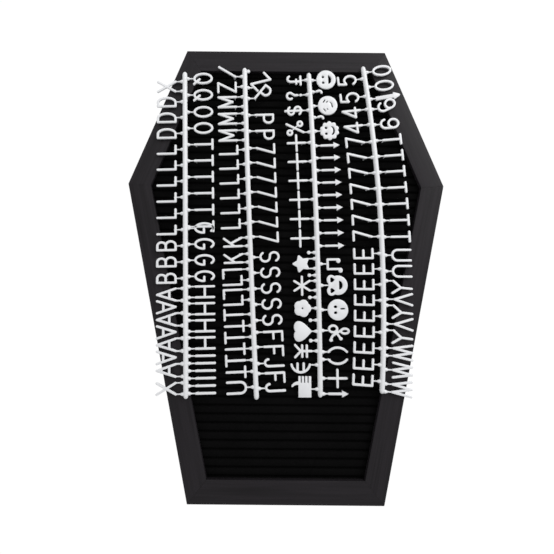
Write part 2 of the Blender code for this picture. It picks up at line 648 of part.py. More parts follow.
SPRUES = [
    {
        "name": "letter_sprue_1",
        "left": [("X", 9, 0, 1), ("A", 24.8, 22.5, 4), ("A", 36.1, 22.5, 3, "flipped"), ("B", 106.9, 15, 3),
                 ("L", 151.5, 15.4, 6), ("D", 245, 15.7, 3), ("X", 292, 0, 1)],
        "right": [("I", 4.4, 6.53, 6), ("H", 48.3, 15.3, 4), ("G", 108.4, 14.9, 4), ("T", 154.6, 15.8, 6),
                  ("O", 249.7, 16.2, 2), ("Q", 283, 16.6, 2)],
    },
    {
        "name": "letter_sprue_2",
        "left": [("U", 11.1, 0, 1), ("T", 24.9, 20.5, 3, "flipped"), ("T", 35.1, 20.6, 3),
                 ("L", 88.9, 18.2, 2), ("L", 95.6, 18.7, 2, "flipped"), ("K", 127.5, 15.2, 2),
                 ("L", 160, 14.2, 6), ("M", 245.8, 16.6, 3), ("Z", 293.7, 0, 1), ("/", 304.3, 0, 1)],
        "right": [("J", 9.5, 22, 2), ("F", 18.9, 23.6, 2), ("F", 55.8, 0, 1), ("S", 70.3, 14.5, 5),
                  ("7", 146.5, 14.2, 7), ("P", 245.7, 15.9, 2), ("P", 276.5, 0, 1, "", 45),
                  ("Z", 291.6, 0, 1, "", 35)],
    },
    {
        "name": "letter_sprue_3",
        "left": [("thumb", 10.4, 0, 1), ("€", 25.7, 0, 1), ("¥", 41.6, 0, 1), (".", 50.3, 0, 1),
                 ("heart", 58.7, 0, 1), (".", 68.7, 0, 1), ("flower", 79.6, 0, 1), (".", 89.5, 0, 1),
                 ("asterisk", 100.3, 0, 1), (".", 109.9, 0, 1), ("star", 120.7, 0, 1), (".", 131, 0, 1),
                 ("+", 144.5, 18.4, 6), ("%", 251.1, 0, 1), ("$", 268.5, 0, 1), ("?", 284, 0, 1),
                 ("£", 298.8, 0, 1)],
        "right": [("arrow", 3.1, 0, 1), ("+", 16.7, 0, 1), (")", 31.7, 0, 1), ("(", 43.5, 0, 1),
                  ("&", 59, 0, 1, "flipped"), ("surprised", 78, 0, 1, "flipped"),
                  ("adoring", 100.4, 0, 1, "flipped"), ("notes", 119.7, 0, 1, "flipped"),
                  ("arrow", 137, 12, 9), ("scalloped", 247.4, 0, 1, "flipped"), (",", 261, 0, 1),
                  ("winking", 272.4, 0, 1, "flipped"), (",", 286.6, 0, 1),
                  ("smiling", 298.2, 0, 1, "flipped")],
    },
    {
        "name": "letter_sprue_4",
        "left": [("E", 10.4, 14.35, 9), ("7", 142, 15.2, 7), ("4", 247.3, 15.3, 2), ("5", 277.8, 17.8, 2)],
        "right": [("W", 5.3, 31.3, 2), ("W", 21, 0, 1, "flipped"), ("Y", 50.1, 22.2, 3, "flipped"),
                  ("V", 61.2, 22.2, 2), ("U", 108.8, 14.7, 2), ("T", 140.5, 15.4, 7), ("6", 248.1, 0, 1, "flipped"),
                  ("6", 262.3, 0, 1, "flipped", 20), ("peg", 272.9, 0, 1, "", 4), ("0", 285.1, 0, 1), ("0", 300.7, 0, 1)],
    },
]

RUNNER_LENGTHS = [306.6 * MM, 312.8 * MM, 305.7 * MM, 307.8 * MM]
RUNNER_BOWS = [0.0, -0.8 * MM, 2.2 * MM, 8.2 * MM]
OUTER_SPRUE_TOP_DROP = 23.6 * MM
OUTER_SPRUE_TOP_INSET = 7.2 * MM
OUTER_SPRUE_FOOT_INSET = 15.6 * MM
LAST_SPRUE_TOP_OVERLAP = 4.2 * MM
LAST_SPRUE_TOP_X = 75.7 * MM
LAST_SPRUE_FOOT_INSET = 21.0 * MM
INNER_SPRUE_TOPS = [(-40.5 * MM, 1.7 * MM), (22.8 * MM, -2.8 * MM)]
INNER_SPRUE_FEET = [-26.7 * MM, 31.4 * MM]


def foot_below(top, length, foot_x):
    """The runner's lower end: straight down the board by its length, moved across to a given x."""
    across = foot_x - top.x
    return Vector((foot_x, top.y - math.sqrt(length**2 - across**2)))


def runner_ends(index):
    """Where one runner's lower and upper ends lie on the board, and the height of its base at each."""
    outer = board_corners()
    lip_y = max(p.y for p in inset_outline(RAIL_WIDTH))
    on_frame = RAIL_DEPTH + SEAT_GAP
    length = RUNNER_LENGTHS[index]
    if index == 0:
        y = HEIGHT / 2 - OUTER_SPRUE_TOP_DROP
        top = Vector((OUTER_SPRUE_TOP_INSET - half_width(outer, y), y))
        foot = foot_below(top, length, OUTER_SPRUE_FOOT_INSET - half_width(outer, y - length))
        return foot, top, on_frame, on_frame
    if index == 3:
        top = Vector((LAST_SPRUE_TOP_X, lip_y + LAST_SPRUE_TOP_OVERLAP))
        foot = foot_below(top, length, half_width(outer, top.y - length) - LAST_SPRUE_FOOT_INSET)
        return foot, top, on_frame, on_frame
    x, overlap = INNER_SPRUE_TOPS[index - 1]
    top = Vector((x, lip_y + overlap))
    foot = foot_below(top, length, INNER_SPRUE_FEET[index - 1])
    on_felt = felt_top() + SEAT_GAP
    slope = (on_frame - on_felt) / (lip_y - foot.y)
    return foot, top, on_felt, on_felt + slope * (top.y - foot.y)


class Runner:
    """The bowed axis of one sprue, in its own plane: u runs up the board and v to the board's left."""

    def __init__(self, length, bow):
        self.length, self.bow = length, bow

    def place(self, u):
        """The axis point at u, and the angle of the axis there."""
        t = u / self.length
        v = -4 * self.bow * t * (1 - t)
        return Vector((u, v)), math.atan(-4 * self.bow * (1 - 2 * t) / self.length)


def stroke_quads(path, half):
    """Covers one stroke with four-sided patches that share their corners where it bends gently."""
    points = [Vector(p) for p in path]
    closed = (points[0] - points[-1]).length < 1e-6
    ways = [(b - a).normalized() for a, b in zip(points, points[1:])]
    last = len(ways)
    joints = []
    for i, point in enumerate(points):
        meets = closed or 0 < i < last
        before, after = ways[i - 1], ways[i % last]
        joint = None
        if meets and before.dot(after) > GENTLE_BEND:
            mitre = (inward(before) + inward(after)).normalized()
            mitre *= half / mitre.dot(inward(after))
            joint = (point + mitre, point - mitre)
        joints.append((joint, half if meets else half * END_OVERRUN))
    if closed:
        joints[-1] = joints[0]
    quads = []
    for i, way in enumerate(ways):
        corners = []
        for k, sign in ((i, -1), (i + 1, 1)):
            joint, overrun = joints[k]
            if joint is None:
                tip = points[k] + way * sign * overrun
                joint = (tip + inward(way) * half, tip - inward(way) * half)
            corners.append(joint)
        quads.append([corners[0][0], corners[1][0], corners[1][1], corners[0][1]])
    return quads


def contains(outline, point):
    """True if the point is inside the outline, by counting the sides that a ray crosses."""
    hit = False
    for i, a in enumerate(outline):
        b = outline[(i + 1) % len(outline)]
        if (a[1] > point.y) != (b[1] > point.y):
            if point.x < a[0] + (b[0] - a[0]) * (point.y - a[1]) / (b[1] - a[1]):
                hit = not hit
    return hit


def filled_triangles(points, edges, solid, holes):
    """Triangulates the edges' plane and keeps what lies in any solid and in no hole, with its rim."""
    found, _, faces, *_ = delaunay_2d_cdt(points, edges, [], 0, 1e-5)
    kept = []
    for corners in faces:
        middle = sum((found[c] for c in corners), Vector((0, 0))) / 3
        if any(contains(s, middle) for s in solid) and not any(contains(h, middle) for h in holes):
            kept.append(corners)
    sides = {(f[i], f[(i + 1) % 3]) for f in kept for i in range(3)}
    return found, kept, sorted((a, b) for a, b in sides if (b, a) not in sides)


def straightened(points, rim):
    """The rim without the points that lie on a straight run of it, and only the points it uses."""
    follow, before = {}, {}
    for a, b in rim:
        follow.setdefault(a, []).append(b)
        before.setdefault(b, []).append(a)
    for spot in list(follow):
        if len(follow[spot]) > 1:
            continue
        a, b = before[spot][0], follow[spot][0]
        run = points[b] - points[a]
        if a != b and abs(run.cross(points[spot] - points[a])) < STRAIGHT * run.length:
            follow[a][follow[a].index(spot)] = b
            before[b][before[b].index(spot)] = a
            del follow[spot], before[spot]
    order = {old: new for new, old in enumerate(follow)}
    sides = [(order[a], order[b]) for a, ends in follow.items() for b in ends]
    return [points[old] for old in follow], sides


def merged_area(solid, holes):
    """Merges overlapping outlines: points, triangles and rim of the area in any solid and in no hole."""
    points, edges = [], []
    for outline in [*solid, *holes]:
        first = len(points)
        points += [Vector(p) for p in outline]
        edges += [(first + i, first + (i + 1) % len(outline)) for i in range(len(outline))]
    found, _, rim = filled_triangles(points, edges, solid, holes)
    return filled_triangles(*straightened(found, rim), solid, holes)


def glyph_area(shape, flipped, lean):
    """The merged area of one glyph and its gates, in metres. It leans about the end of its first gate."""
    unit = CAP_HEIGHT - STROKE
    half = STROKE / 2 / unit
    solid = [quad for path in shape.get("strokes", []) for quad in stroke_quads(path, half)]
    solid += [[Vector(p) for p in outline] for outline in shape.get("fills", [])]
    holes = [[Vector(p) for p in outline] for outline in shape.get("holes", [])]
    if flipped:
        solid, holes = [[[Vector((-p.x, 1 - p.y)) for p in s] for s in group] for group in (solid, holes)]
    places = [-x for x in shape["heads"]] if flipped else shape["gates"]
    reach = GATE_REACH if flipped else shape.get("gate_reach", GATE_REACH)
    if lean:
        tip, turn = Vector((places[0], 0)), Matrix.Rotation(lean, 2)
        solid, holes = [[[tip + turn @ (p - tip) for p in s] for s in group] for group in (solid, holes)]
    root = -(GATE_LENGTH + ROOT_IN_RUNNER) / unit - half
    foot, tip = GATE_FOOT / 2 / unit, GATE_TIP / 2 / unit
    for x in places:
        solid.append([Vector((x - foot, root)), Vector((x + foot, root)), Vector((x + tip, reach)),
                      Vector((x - tip, reach))])
    points, triangles, rim = merged_area(solid, holes)
    return [p * unit for p in points], triangles, rim


def add_slab(bm, area, thickness, transform):
    points, triangles, rim = area
    layers = []
    for z in (-thickness / 2, thickness / 2):
        layers.append([bm.verts.new(transform @ Vector((p.x, p.y, z))) for p in points])
    low, high = layers
    for a, b, c in triangles:
        bm.faces.new((high[a], high[b], high[c]))
        bm.faces.new((low[c], low[b], low[a]))
    for a, b in rim:
        bm.faces.new((low[a], low[b], high[b], high[a]))


def sprue_letters(rows, runner):
    """Every glyph of one sprue with its gates, as closed blocks in the sprue's own plane."""
    shapes, areas = glyphs(), {}
    bm = bmesh.new()
    stand_off = RUNNER_RADIUS + GATE_LENGTH + STROKE / 2
    for side, row in rows:
        for glyph, first, pitch, count, *turned in row:
            flipped = "flipped" in turned
            lean = math.radians(turned[1]) if len(turned) > 1 else 0.0
            key = glyph, flipped, lean
            if key not in areas:
                areas[key] = glyph_area(shapes[glyph], flipped, lean)
            for k in range(count):
                place, angle = runner.place((first + pitch * k) * MM)
                turn = Matrix.Rotation(angle + (0 if side > 0 else math.pi), 4, "Z")
                at = Matrix.Translation((place.x, place.y, 0)) @ turn @ Matrix.Translation((0, stand_off, 0))
                add_slab(bm, areas[key], LETTER_THICKNESS, at)
    return bm


def runner_body(runner):
    """An eight-sided bar with tapered ends, flat where the gates join it."""
    bm = bmesh.new()
    corner = RUNNER_RADIUS / math.cos(math.pi / 8)
    stations = [(0.0, 0.45), (RUNNER_TAPER * 0.4, 0.85)]
    inner = runner.length - 2 * RUNNER_TAPER
    stations += [(RUNNER_TAPER + inner * i / RUNNER_SEGMENTS, 1.0) for i in range(RUNNER_SEGMENTS + 1)]
    stations += [(runner.length - RUNNER_TAPER * 0.4, 0.85), (runner.length, 0.45)]
    rings = []
    for u, size in stations:
        place, angle = runner.place(u)
        across = Vector((-math.sin(angle), math.cos(angle)))
        ring_points = []
        for k in range(8):
            a = math.pi / 8 + math.pi / 4 * k
            spot = place + across * corner * size * math.cos(a)
            ring_points.append((spot.x, spot.y, corner * size * math.sin(a)))
        rings.append(ring_points)
    bridge_rings(bm, rings)
    return bm


def make_sprue(index):
    sprue = SPRUES[index]
    foot, top, foot_base, top_base = runner_ends(index)
    length = math.dist((*foot, foot_base), (*top, top_base))
    runner = Runner(length, RUNNER_BOWS[index])
    up = Vector((top.x - foot.x, top.y - foot.y, top_base - foot_base)).normalized()
    left = Vector((-up.y, up.x, 0)).normalized()
    axes = Matrix((up, left, up.cross(left))).transposed().to_4x4()
    base = Vector((foot.x, foot.y, foot_base))
    frame = Matrix.Translation(base) @ axes @ Matrix.Translation((0, 0, RUNNER_RADIUS))
    body = add_object(sprue["name"], runner_body(runner), "white_plastic")
    rows = ((1, sprue["left"]), (-1, sprue["right"]))
    letters = add_tool(f"{sprue['name']}_letters", sprue_letters(rows, runner))
    for piece in (body, letters):
        piece.data.transform(frame)
    boolean(body, letters, "UNION").use_self = True
    return body


def main():
    clear_scene()
    rails = make_rails()
    make_mitre_nails(rails)
    make_glazing_points(rails)
    make_felt()
    core = make_core()
    backing = make_backing()
    hanger = make_hanger()
    make_hanger_screws(hanger, backing, core)
    for index in range(len(SPRUES)):
        make_sprue(index)


main()
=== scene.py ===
"""Dresses a coffin-shaped felt letter board: painted frame, ribbed felt, back and four sprues of letters."""

import math
from contextlib import contextmanager

import bmesh
import bpy
from bpy.props import FloatProperty, FloatVectorProperty, IntProperty, PointerProperty
from mathutils import Matrix, Vector, noise
from mathutils.geometry import delaunay_2d_cdt


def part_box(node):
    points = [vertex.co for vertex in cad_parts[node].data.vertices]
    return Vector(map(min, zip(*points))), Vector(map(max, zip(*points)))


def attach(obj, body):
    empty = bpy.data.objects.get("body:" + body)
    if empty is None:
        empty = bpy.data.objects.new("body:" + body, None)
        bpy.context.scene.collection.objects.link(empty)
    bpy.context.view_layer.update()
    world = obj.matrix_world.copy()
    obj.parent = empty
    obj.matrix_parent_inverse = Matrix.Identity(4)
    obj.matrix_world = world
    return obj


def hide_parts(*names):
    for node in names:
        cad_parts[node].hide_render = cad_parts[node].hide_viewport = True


bl_info = {
    "name": "Felt Letter Board",
    "version": (1, 0, 0),
    "blender": (4, 5, 0),
    "location": "View3D > Sidebar > Letter Board",
    "description": "Paints, felts and fits out a coffin-shaped letter board and moulds its letters",
    "category": "Object",
}

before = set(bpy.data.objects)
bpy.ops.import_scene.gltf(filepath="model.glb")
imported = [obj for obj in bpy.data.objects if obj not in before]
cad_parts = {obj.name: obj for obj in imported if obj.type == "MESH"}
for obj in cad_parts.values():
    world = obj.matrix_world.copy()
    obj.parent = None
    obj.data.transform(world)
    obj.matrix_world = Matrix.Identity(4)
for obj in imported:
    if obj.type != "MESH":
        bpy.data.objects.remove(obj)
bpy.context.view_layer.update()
MM = 0.001

RAIL_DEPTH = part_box("frame_rail_top")[1].z
LIP_DEPTH, PANEL_CLEARANCE = 4.8 * MM, 0.5 * MM
LIP_BACK = RAIL_DEPTH - LIP_DEPTH
FELT_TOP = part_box("felt_face")[1].z
RAIL_NAMES = ["top", "upper_left", "lower_left", "bottom", "lower_right", "upper_right"]


# Settings


def length(name, description, millimetres):
    return FloatProperty(
        name=name, description=description, default=millimetres * MM, unit="LENGTH", precision=5
    )


def colour(name, description, value):
    return FloatVectorProperty(
        name=name, description=description, default=value, subtype="COLOR", min=0, max=1
    )


class FrameSettings(bpy.types.PropertyGroup):
    """Outline of the board and section of its moulding."""

    height: length("Height", "Outer height of the frame", 420)
    top_width: length("Top width", "Outer width of the top edge", 195)
    shoulder_width: length("Shoulder width", "Outer width at the shoulders", 300)
    bottom_width: length("Bottom width", "Outer width of the bottom edge", 173)
    shoulder_drop: length("Shoulder drop", "From the top edge down to the shoulders", 134)
    rail_width: length("Rail width", "Face width of the moulding", 20.7)
    rebate: length("Rebate", "Width of the step that holds the panel", 6.5)
    outer_radius: length("Outer edge", "Radius of the outer front edge", 1.0)
    inner_radius: length("Inner edge", "Radius of the inner front edge", 0.4)
    back_radius: length("Back edge", "Radius of the outer back edge", 0.5)
    mitre_gap: length("Mitre gap", "Open line at each mitre", 0.1)
    paint: colour("Paint", "Charcoal paint of the frame", (0.0124, 0.0106, 0.0127))


class FeltSettings(bpy.types.PropertyGroup):
    """Ribs and grooves of the felt face."""

    pitch: length("Pitch", "From one groove to the next", 7.62)
    lowest: length("Lowest groove", "Above the frame's inner bottom edge", 0.8)
    groove_width: length("Groove width", "Open width of a groove", 1.3)
    groove_depth: length("Groove depth", "Depth of a groove", 2.4)
    crown: length("Crown", "How far a rib's middle stands above its shoulders", 0.45)
    shoulder: length("Shoulder", "Radius of a rib's edge", 1.5)
    thickness: length("Felt", "Thickness of the felt", 0.9)
    unevenness: length("Unevenness", "How far the felt strays from true", 0.12)
    columns: IntProperty(name="Columns", description="Faces across the board", default=26)
    dye: colour("Dye", "Black of the felt", (0.0031, 0.0030, 0.0031))


class LetterSettings(bpy.types.PropertyGroup):
    """Sizes of the moulded letters, their runner and their gates."""

    cap_height: length("Capital", "Height of a capital", 19)
    stroke: length("Stroke", "Width of a letter's stroke", 2.1)
    thickness: length("Thickness", "Thickness of a letter", 1.8)
    runner_radius: length("Runner", "Radius of the round runner", 2.3)
    gate_length: length("Gate", "From the runner to the letter", 5.8)
    gate_root: length("Gate root", "How far a gate starts inside the runner", 0.7)
    plastic: colour("Plastic", "White of the letters", (0.735, 0.742, 0.76))


class StageSettings(bpy.types.PropertyGroup):
    """Light and camera."""

    sky: FloatProperty(name="Sky", description="Strength of the even light", default=0.66)
    key: FloatProperty(name="Key", description="Power of the soft box in watts", default=10.0)
    fill: FloatProperty(name="Fill", description="Power of the second soft box in watts", default=2.5)
    focal: FloatProperty(name="Focal", description="Focal length in millimetres", default=27.3)


# Selecting and editing


def select_only(*pieces):
    bpy.ops.object.select_all(action="DESELECT")
    for piece in pieces:
        piece.select_set(True)
    bpy.context.view_layer.objects.active = pieces[-1]


@contextmanager
def editing(piece):
    """Edit mode on one piece, with nothing selected at the start."""
    select_only(piece)
    bpy.ops.object.mode_set(mode="EDIT")
    bpy.ops.mesh.select_mode(type="FACE")
    bpy.ops.mesh.select_all(action="DESELECT")
    yield
    bpy.ops.object.mode_set(mode="OBJECT")


def pick(piece, kind, wanted):
    """Selects the faces or edges in edit mode that pass a test, and nothing else."""
    bpy.ops.mesh.select_mode(type="EDGE" if kind == "edges" else "FACE")
    bpy.ops.mesh.select_all(action="DESELECT")
    mesh = bmesh.from_edit_mesh(piece.data)
    for element in getattr(mesh, kind):
        if wanted(element):
            element.select_set(True)
    bmesh.update_edit_mesh(piece.data)


def place(piece, matrix):
    """Moves a finished piece and applies the move, so that its object stays at the origin."""
    piece.matrix_world = matrix
    select_only(piece)
    bpy.ops.object.transform_apply(location=True, rotation=True, scale=True)


def apply_modifiers(piece):
    select_only(piece)
    for modifier in list(piece.modifiers):
        bpy.ops.object.modifier_apply(modifier=modifier.name)


def copy_of(template, matrix):
    """A copy of a template with a mesh of its own, put in place in that mesh."""
    made = template.copy()
    made.data = template.data.copy()
    made.data.transform(matrix)
    bpy.context.scene.collection.objects.link(made)
    return made


def remove(*pieces):
    for piece in pieces:
        bpy.data.objects.remove(piece, do_unlink=True)


def joined(name, pieces):
    select_only(*pieces)
    bpy.ops.object.join()
    whole = bpy.context.active_object
    whole.name = whole.data.name = name
    return whole


def belongs(piece, slot, *nodes):
    """The piece rides on the board, and the CAD nodes it stands for are hidden. The slot is not used."""
    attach(piece, "root")
    if nodes:
        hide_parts(*nodes)


# Finishes


class Value:
    """One value in a material. Arithmetic on it adds Math nodes."""

    def __init__(self, finish, socket):
        self.finish, self.socket = finish, socket

    def maths(self, operation, first, second):
        return self.finish.node("ShaderNodeMath", {"operation": operation}, {0: first, 1: second})

    def __add__(self, other):
        return self.maths("ADD", self, other)

    def __sub__(self, other):
        return self.maths("SUBTRACT", self, other)

    def __rsub__(self, other):
        return self.maths("SUBTRACT", other, self)

    def __mul__(self, other):
        return self.maths("MULTIPLY", self, other)

    __radd__, __rmul__ = __add__, __mul__


class Finish:
    """A material: its Principled shader and the nodes that feed it."""

    def __init__(self, name, fixed):
        self.material = bpy.data.materials.new(name)
        self.material.use_nodes = True
        self.tree = self.material.node_tree
        self.shader = self.tree.nodes["Principled BSDF"]
        for socket, value in fixed.items():
            self.shader.inputs[socket].default_value = value

    def node(self, kind, settings=None, inputs=None, output=0):
        """Adds a node, sets it up, fills its inputs and returns one of its outputs."""
        made = self.tree.nodes.new(kind)
        for name, value in (settings or {}).items():
            setattr(made, name, value)
        for name, value in (inputs or {}).items():
            if isinstance(value, Value):
                self.tree.links.new(value.socket, made.inputs[name])
            else:
                made.inputs[name].default_value = value
        return Value(self, made.outputs[output])

    def place(self):
        return self.node("ShaderNodeTexCoord", output=3)

    def grain_map(self):
        return self.node("ShaderNodeUVMap", {"uv_map": "grain"})

    def stretched(self, where, scale):
        return self.node("ShaderNodeVectorMath", {"operation": "MULTIPLY"}, {0: where, 1: scale})

    def noise(self, where, scale, detail=3.0, roughness=0.5):
        """Soft noise from 0 to 1, with a scale in features per metre for each axis."""
        if isinstance(scale, tuple):
            where, scale = self.stretched(where, scale), 1.0
        return self.node(
            "ShaderNodeTexNoise", None,
            {"Vector": where, "Scale": scale, "Detail": detail, "Roughness": roughness},
        )

    def between(self, low, high, share):
        """A colour between two, by a share from 0 to 1."""
        return self.node(
            "ShaderNodeMix", {"data_type": "RGBA"}, {0: share, 6: (*low, 1), 7: (*high, 1)}, 2
        )

    def ramp(self, value, start, end):
        """0 below the start, 1 above the end and even between them."""
        return self.node("ShaderNodeMapRange", None, {"Value": value, "From Min": start, "From Max": end})

    def bump(self, height, strength, distance):
        return self.node(
            "ShaderNodeBump", None, {"Strength": strength, "Distance": distance, "Height": height}
        )

    def feed(self, **links):
        for name, value in links.items():
            self.tree.links.new(value.socket, self.shader.inputs[name.replace("_", " ")])
        return self.material


def scaled(tone, factor):
    return tuple(min(1.0, channel * factor) for channel in tone)


def painted_wood(tone):
    """Satin charcoal paint over fine open grain that runs along each rail."""
    finish = Finish("charcoal_paint", {"Specular IOR Level": 0.17})
    along = finish.grain_map()
    fine = finish.noise(along, (16, 620, 1), 5, 0.6)
    broad = finish.noise(along, (7, 210, 1), 3, 0.6)
    patches = finish.noise(along, (9, 26, 1), 2)
    pores = finish.ramp(finish.noise(along, (110, 2100, 1), 2), 0.30, 0.52)
    share = finish.ramp(fine * 0.35 + broad * 0.4 + patches * 0.25, 0.36, 0.64)
    return finish.feed(
        Base_Color=finish.between(scaled(tone, 0.55), scaled(tone, 1.45), share),
        Roughness=0.42 + patches * 0.10 + fine * 0.10,
        Normal=finish.bump(fine * 0.6 + pores * 0.4, 0.3, 0.0002),
    )


def felt_cloth(tone):
    """Pressed black felt: short matted fibres and no shine."""
    finish = Finish("black_felt", {"Specular IOR Level": 0.02})
    where = finish.place()
    fibres = finish.noise(where, 2600, 4, 0.65)
    tufts = finish.noise(where, 620, 3)
    wear = finish.noise(where, 26, 3)
    share = finish.ramp(fibres * 0.5 + tufts * 0.25 + wear * 0.25, 0.32, 0.68)
    return finish.feed(
        Base_Color=finish.between(scaled(tone, 0.55), scaled(tone, 1.6), share),
        Roughness=0.9 + fibres * 0.1,
        Normal=finish.bump(fibres * 0.6 + tufts * 0.4, 0.5, 0.0004),
    )


def moulded_plastic(tone):
    """White moulded plastic with a soft shine and the faint unevenness of its cooling."""
    finish = Finish("white_plastic", {"Specular IOR Level": 0.45})
    where = finish.place()
    sink = finish.noise(where, 160, 2)
    skin = finish.noise(where, 1500, 2)
    return finish.feed(
        Base_Color=finish.between(scaled(tone, 0.965), scaled(tone, 1.02), sink),
        Roughness=0.30 + skin * 0.12,
        Normal=finish.bump(sink * 0.7 + skin * 0.3, 0.12, 0.0003),
    )


def raw_fibreboard(tone):
    """The cut edges and face of unpainted fibreboard."""
    finish = Finish("raw_board", {"Specular IOR Level": 0.2})
    where = finish.place()
    fibres = finish.noise(where, 900, 5, 0.7)
    clouds = finish.noise(where, 45, 3)
    return finish.feed(
        Base_Color=finish.between(scaled(tone, 0.75), scaled(tone, 1.2), fibres * 0.6 + clouds * 0.4),
        Roughness=0.78 + fibres * 0.2,
        Normal=finish.bump(fibres, 0.4, 0.0002),
    )


def brown_hardboard(tone):
    """Hardboard's rough side: brown fibres pressed against a wire screen."""
    finish = Finish("hardboard", {"Specular IOR Level": 0.25})
    where = finish.place()
    fibres = finish.noise(where, 700, 5, 0.7)
    clouds = finish.noise(where, 22, 4, 0.6)
    threads = [
        finish.node(
            "ShaderNodeTexWave", {"bands_direction": way},
            {"Vector": where, "Scale": 210.0, "Distortion": 0.8, "Detail": 1.0, "Detail Scale": 0.6},
            1,
        )
        for way in ("X", "Y")
    ]
    screen = threads[0] * threads[1]
    share = fibres * 0.45 + clouds * 0.45 + screen * 0.15
    return finish.feed(
        Base_Color=finish.between(scaled(tone, 0.62), scaled(tone, 1.35), share),
        Roughness=0.62 + fibres * 0.25,
        Normal=finish.bump(fibres * 0.5 + screen * 0.5, 0.5, 0.00025),
    )


def zinc_plate(tone):
    """Pressed sheet steel with bright zinc plating, dulled here and there."""
    finish = Finish("zinc_steel", {"Metallic": 1.0})
    where = finish.place()
    rolled = finish.noise(where, (90, 2400, 2400), 3)
    bloom = finish.noise(where, 240, 3)
    return finish.feed(
        Base_Color=finish.between(scaled(tone, 0.72), scaled(tone, 1.05), bloom),
        Roughness=0.24 + rolled * 0.14 + bloom * 0.16,
        Normal=finish.bump(rolled, 0.15, 0.0001),
    )


# The board's outline


def outer_corners(sizes):
    """The six outer corners, anticlockwise from the top right."""
    top = sizes.height / 2
    right = [
        (sizes.top_width / 2, top),
        (sizes.shoulder_width / 2, top - sizes.shoulder_drop),
        (sizes.bottom_width / 2, -top),
    ]
    left = [(-x, y) for x, y in right]
    return [Vector(p) for p in (right[0], left[0], left[1], left[2], right[2], right[1])]


def edge_way(corners, i):
    return (corners[(i + 1) % 6] - corners[i % 6]).normalized()


def inward(way):
    return Vector((-way.y, way.x))


def inset_corner(corners, i, distance):
    before, after = edge_way(corners, i - 1), edge_way(corners, i)
    bisector = (inward(before) + inward(after)).normalized()
    return corners[i % 6] + bisector * distance / bisector.dot(inward(after))


def inset_outline(sizes, distance):
    corners = outer_corners(sizes)
    return [inset_corner(corners, i, distance) for i in range(6)]


def half_width(outline, y):
    for i, a in enumerate(outline):
        b = outline[(i + 1) % 6]
        if a.x > 0 and b.x > 0 and min(a.y, b.y) <= y <= max(a.y, b.y):
            return a.x + (b.x - a.x) * (y - a.y) / (b.y - a.y)
    raise ValueError(f"no side at {y}")


# Frame


def rail_block(sizes, span):
    """A straight stick of the moulding: outer edge on the X axis, face up, rebate cut at the back."""
    width, spare = sizes.rail_width, 40 * MM
    bpy.ops.mesh.primitive_cube_add(
        size=1, location=(span / 2, width / 2, RAIL_DEPTH / 2), scale=(span + 2 * spare, width, RAIL_DEPTH)
    )
    stick = bpy.context.active_object
    bpy.ops.object.transform_apply(location=True, rotation=True, scale=True)
    bpy.ops.mesh.primitive_cube_add(
        size=1, location=(span / 2, width, 0), scale=(span + 4 * spare, 2 * sizes.rebate, 2 * LIP_BACK)
    )
    plane = bpy.context.active_object
    bpy.ops.object.transform_apply(location=True, rotation=True, scale=True)
    cut = stick.modifiers.new("rebate", "BOOLEAN")
    cut.operation, cut.object = "DIFFERENCE", plane
    apply_modifiers(stick)
    remove(plane)
    for y, z, radius in (
        (0, RAIL_DEPTH, sizes.outer_radius),
        (width, RAIL_DEPTH, sizes.inner_radius),
        (0, 0, sizes.back_radius),
    ):
        with editing(stick):
            pick(stick, "edges", lambda e: all(
                abs(v.co.y - y) < 1e-5 and abs(v.co.z - z) < 1e-5 for v in e.verts))
            bpy.ops.mesh.bevel(offset=radius, segments=4, profile=0.5, affect="EDGES")
    return stick


def cut_mitre(stick, at, away):
    """Cuts the stick square to its face with a plane, and drops what lies on the far side."""
    with editing(stick):
        bpy.ops.mesh.select_all(action="SELECT")
        bpy.ops.mesh.bisect(
            plane_co=(at.x, at.y, 0), plane_no=(away.x, away.y, 0),
            use_fill=True, clear_outer=True, clear_inner=False, threshold=1e-6,
        )


def map_grain(piece, shift):
    """A UV map in metres: U along the stick and V round its section."""
    for layer in list(piece.data.uv_layers):
        piece.data.uv_layers.remove(layer)
    layer = piece.data.uv_layers.new(name="grain")
    for face in piece.data.polygons:
        for corner in face.loop_indices:
            spot = piece.data.vertices[piece.data.loops[corner].vertex_index].co
            layer.data[corner].uv = (spot.x + shift, spot.y - spot.z + shift)


def make_rail(sizes, i, finish):
    corners = outer_corners(sizes)
    start, end = corners[i], corners[(i + 1) % 6]
    way = edge_way(corners, i)
    to_board = Matrix.Translation((*start, 0)) @ Matrix((
        (way.x, -way.y, 0, 0), (way.y, way.x, 0, 0), (0, 0, 1, 0), (0, 0, 0, 1)))
    to_stick = to_board.inverted()
    span = (end - start).length
    stick = rail_block(sizes, span)
    for corner, sign in ((i, -1), (i + 1, 1)):
        inner = to_stick @ Vector((*inset_corner(corners, corner, sizes.rail_width), 0))
        outer = Vector((0 if sign < 0 else span, 0))
        line = (inner.xy - outer).normalized()
        away = Vector((line.y, -line.x)) * (1 if sign > 0 else -1)
        cut_mitre(stick, outer - away * sizes.mitre_gap / 2, away)
    with editing(stick):
        bpy.ops.mesh.select_all(action="SELECT")
        bpy.ops.mesh.normals_make_consistent(inside=False)
    map_grain(stick, 0.37 * (i + 1))
    place(stick, to_board)
    stick.name = stick.data.name = f"rail_{RAIL_NAMES[i]}"
    stick.data.materials.append(finish)
    bpy.ops.object.shade_smooth_by_angle(angle=math.radians(30))
    return stick


# Felt


def rib_height(t, sizes):
    """Height of the felt above its shoulders' line at a distance t from the middle of a rib."""
    edge = sizes.pitch / 2 - sizes.groove_width / 2
    if t >= edge:
        return -sizes.groove_depth
    crown = sizes.crown * (1 - (t / edge) ** 2)
    into = t - (edge - sizes.shoulder)
    if into <= 0:
        return crown - sizes.crown
    drop = sizes.shoulder * (1 - math.sqrt(max(0.0, 1 - (into / sizes.shoulder) ** 2)))
    return crown - sizes.crown - drop


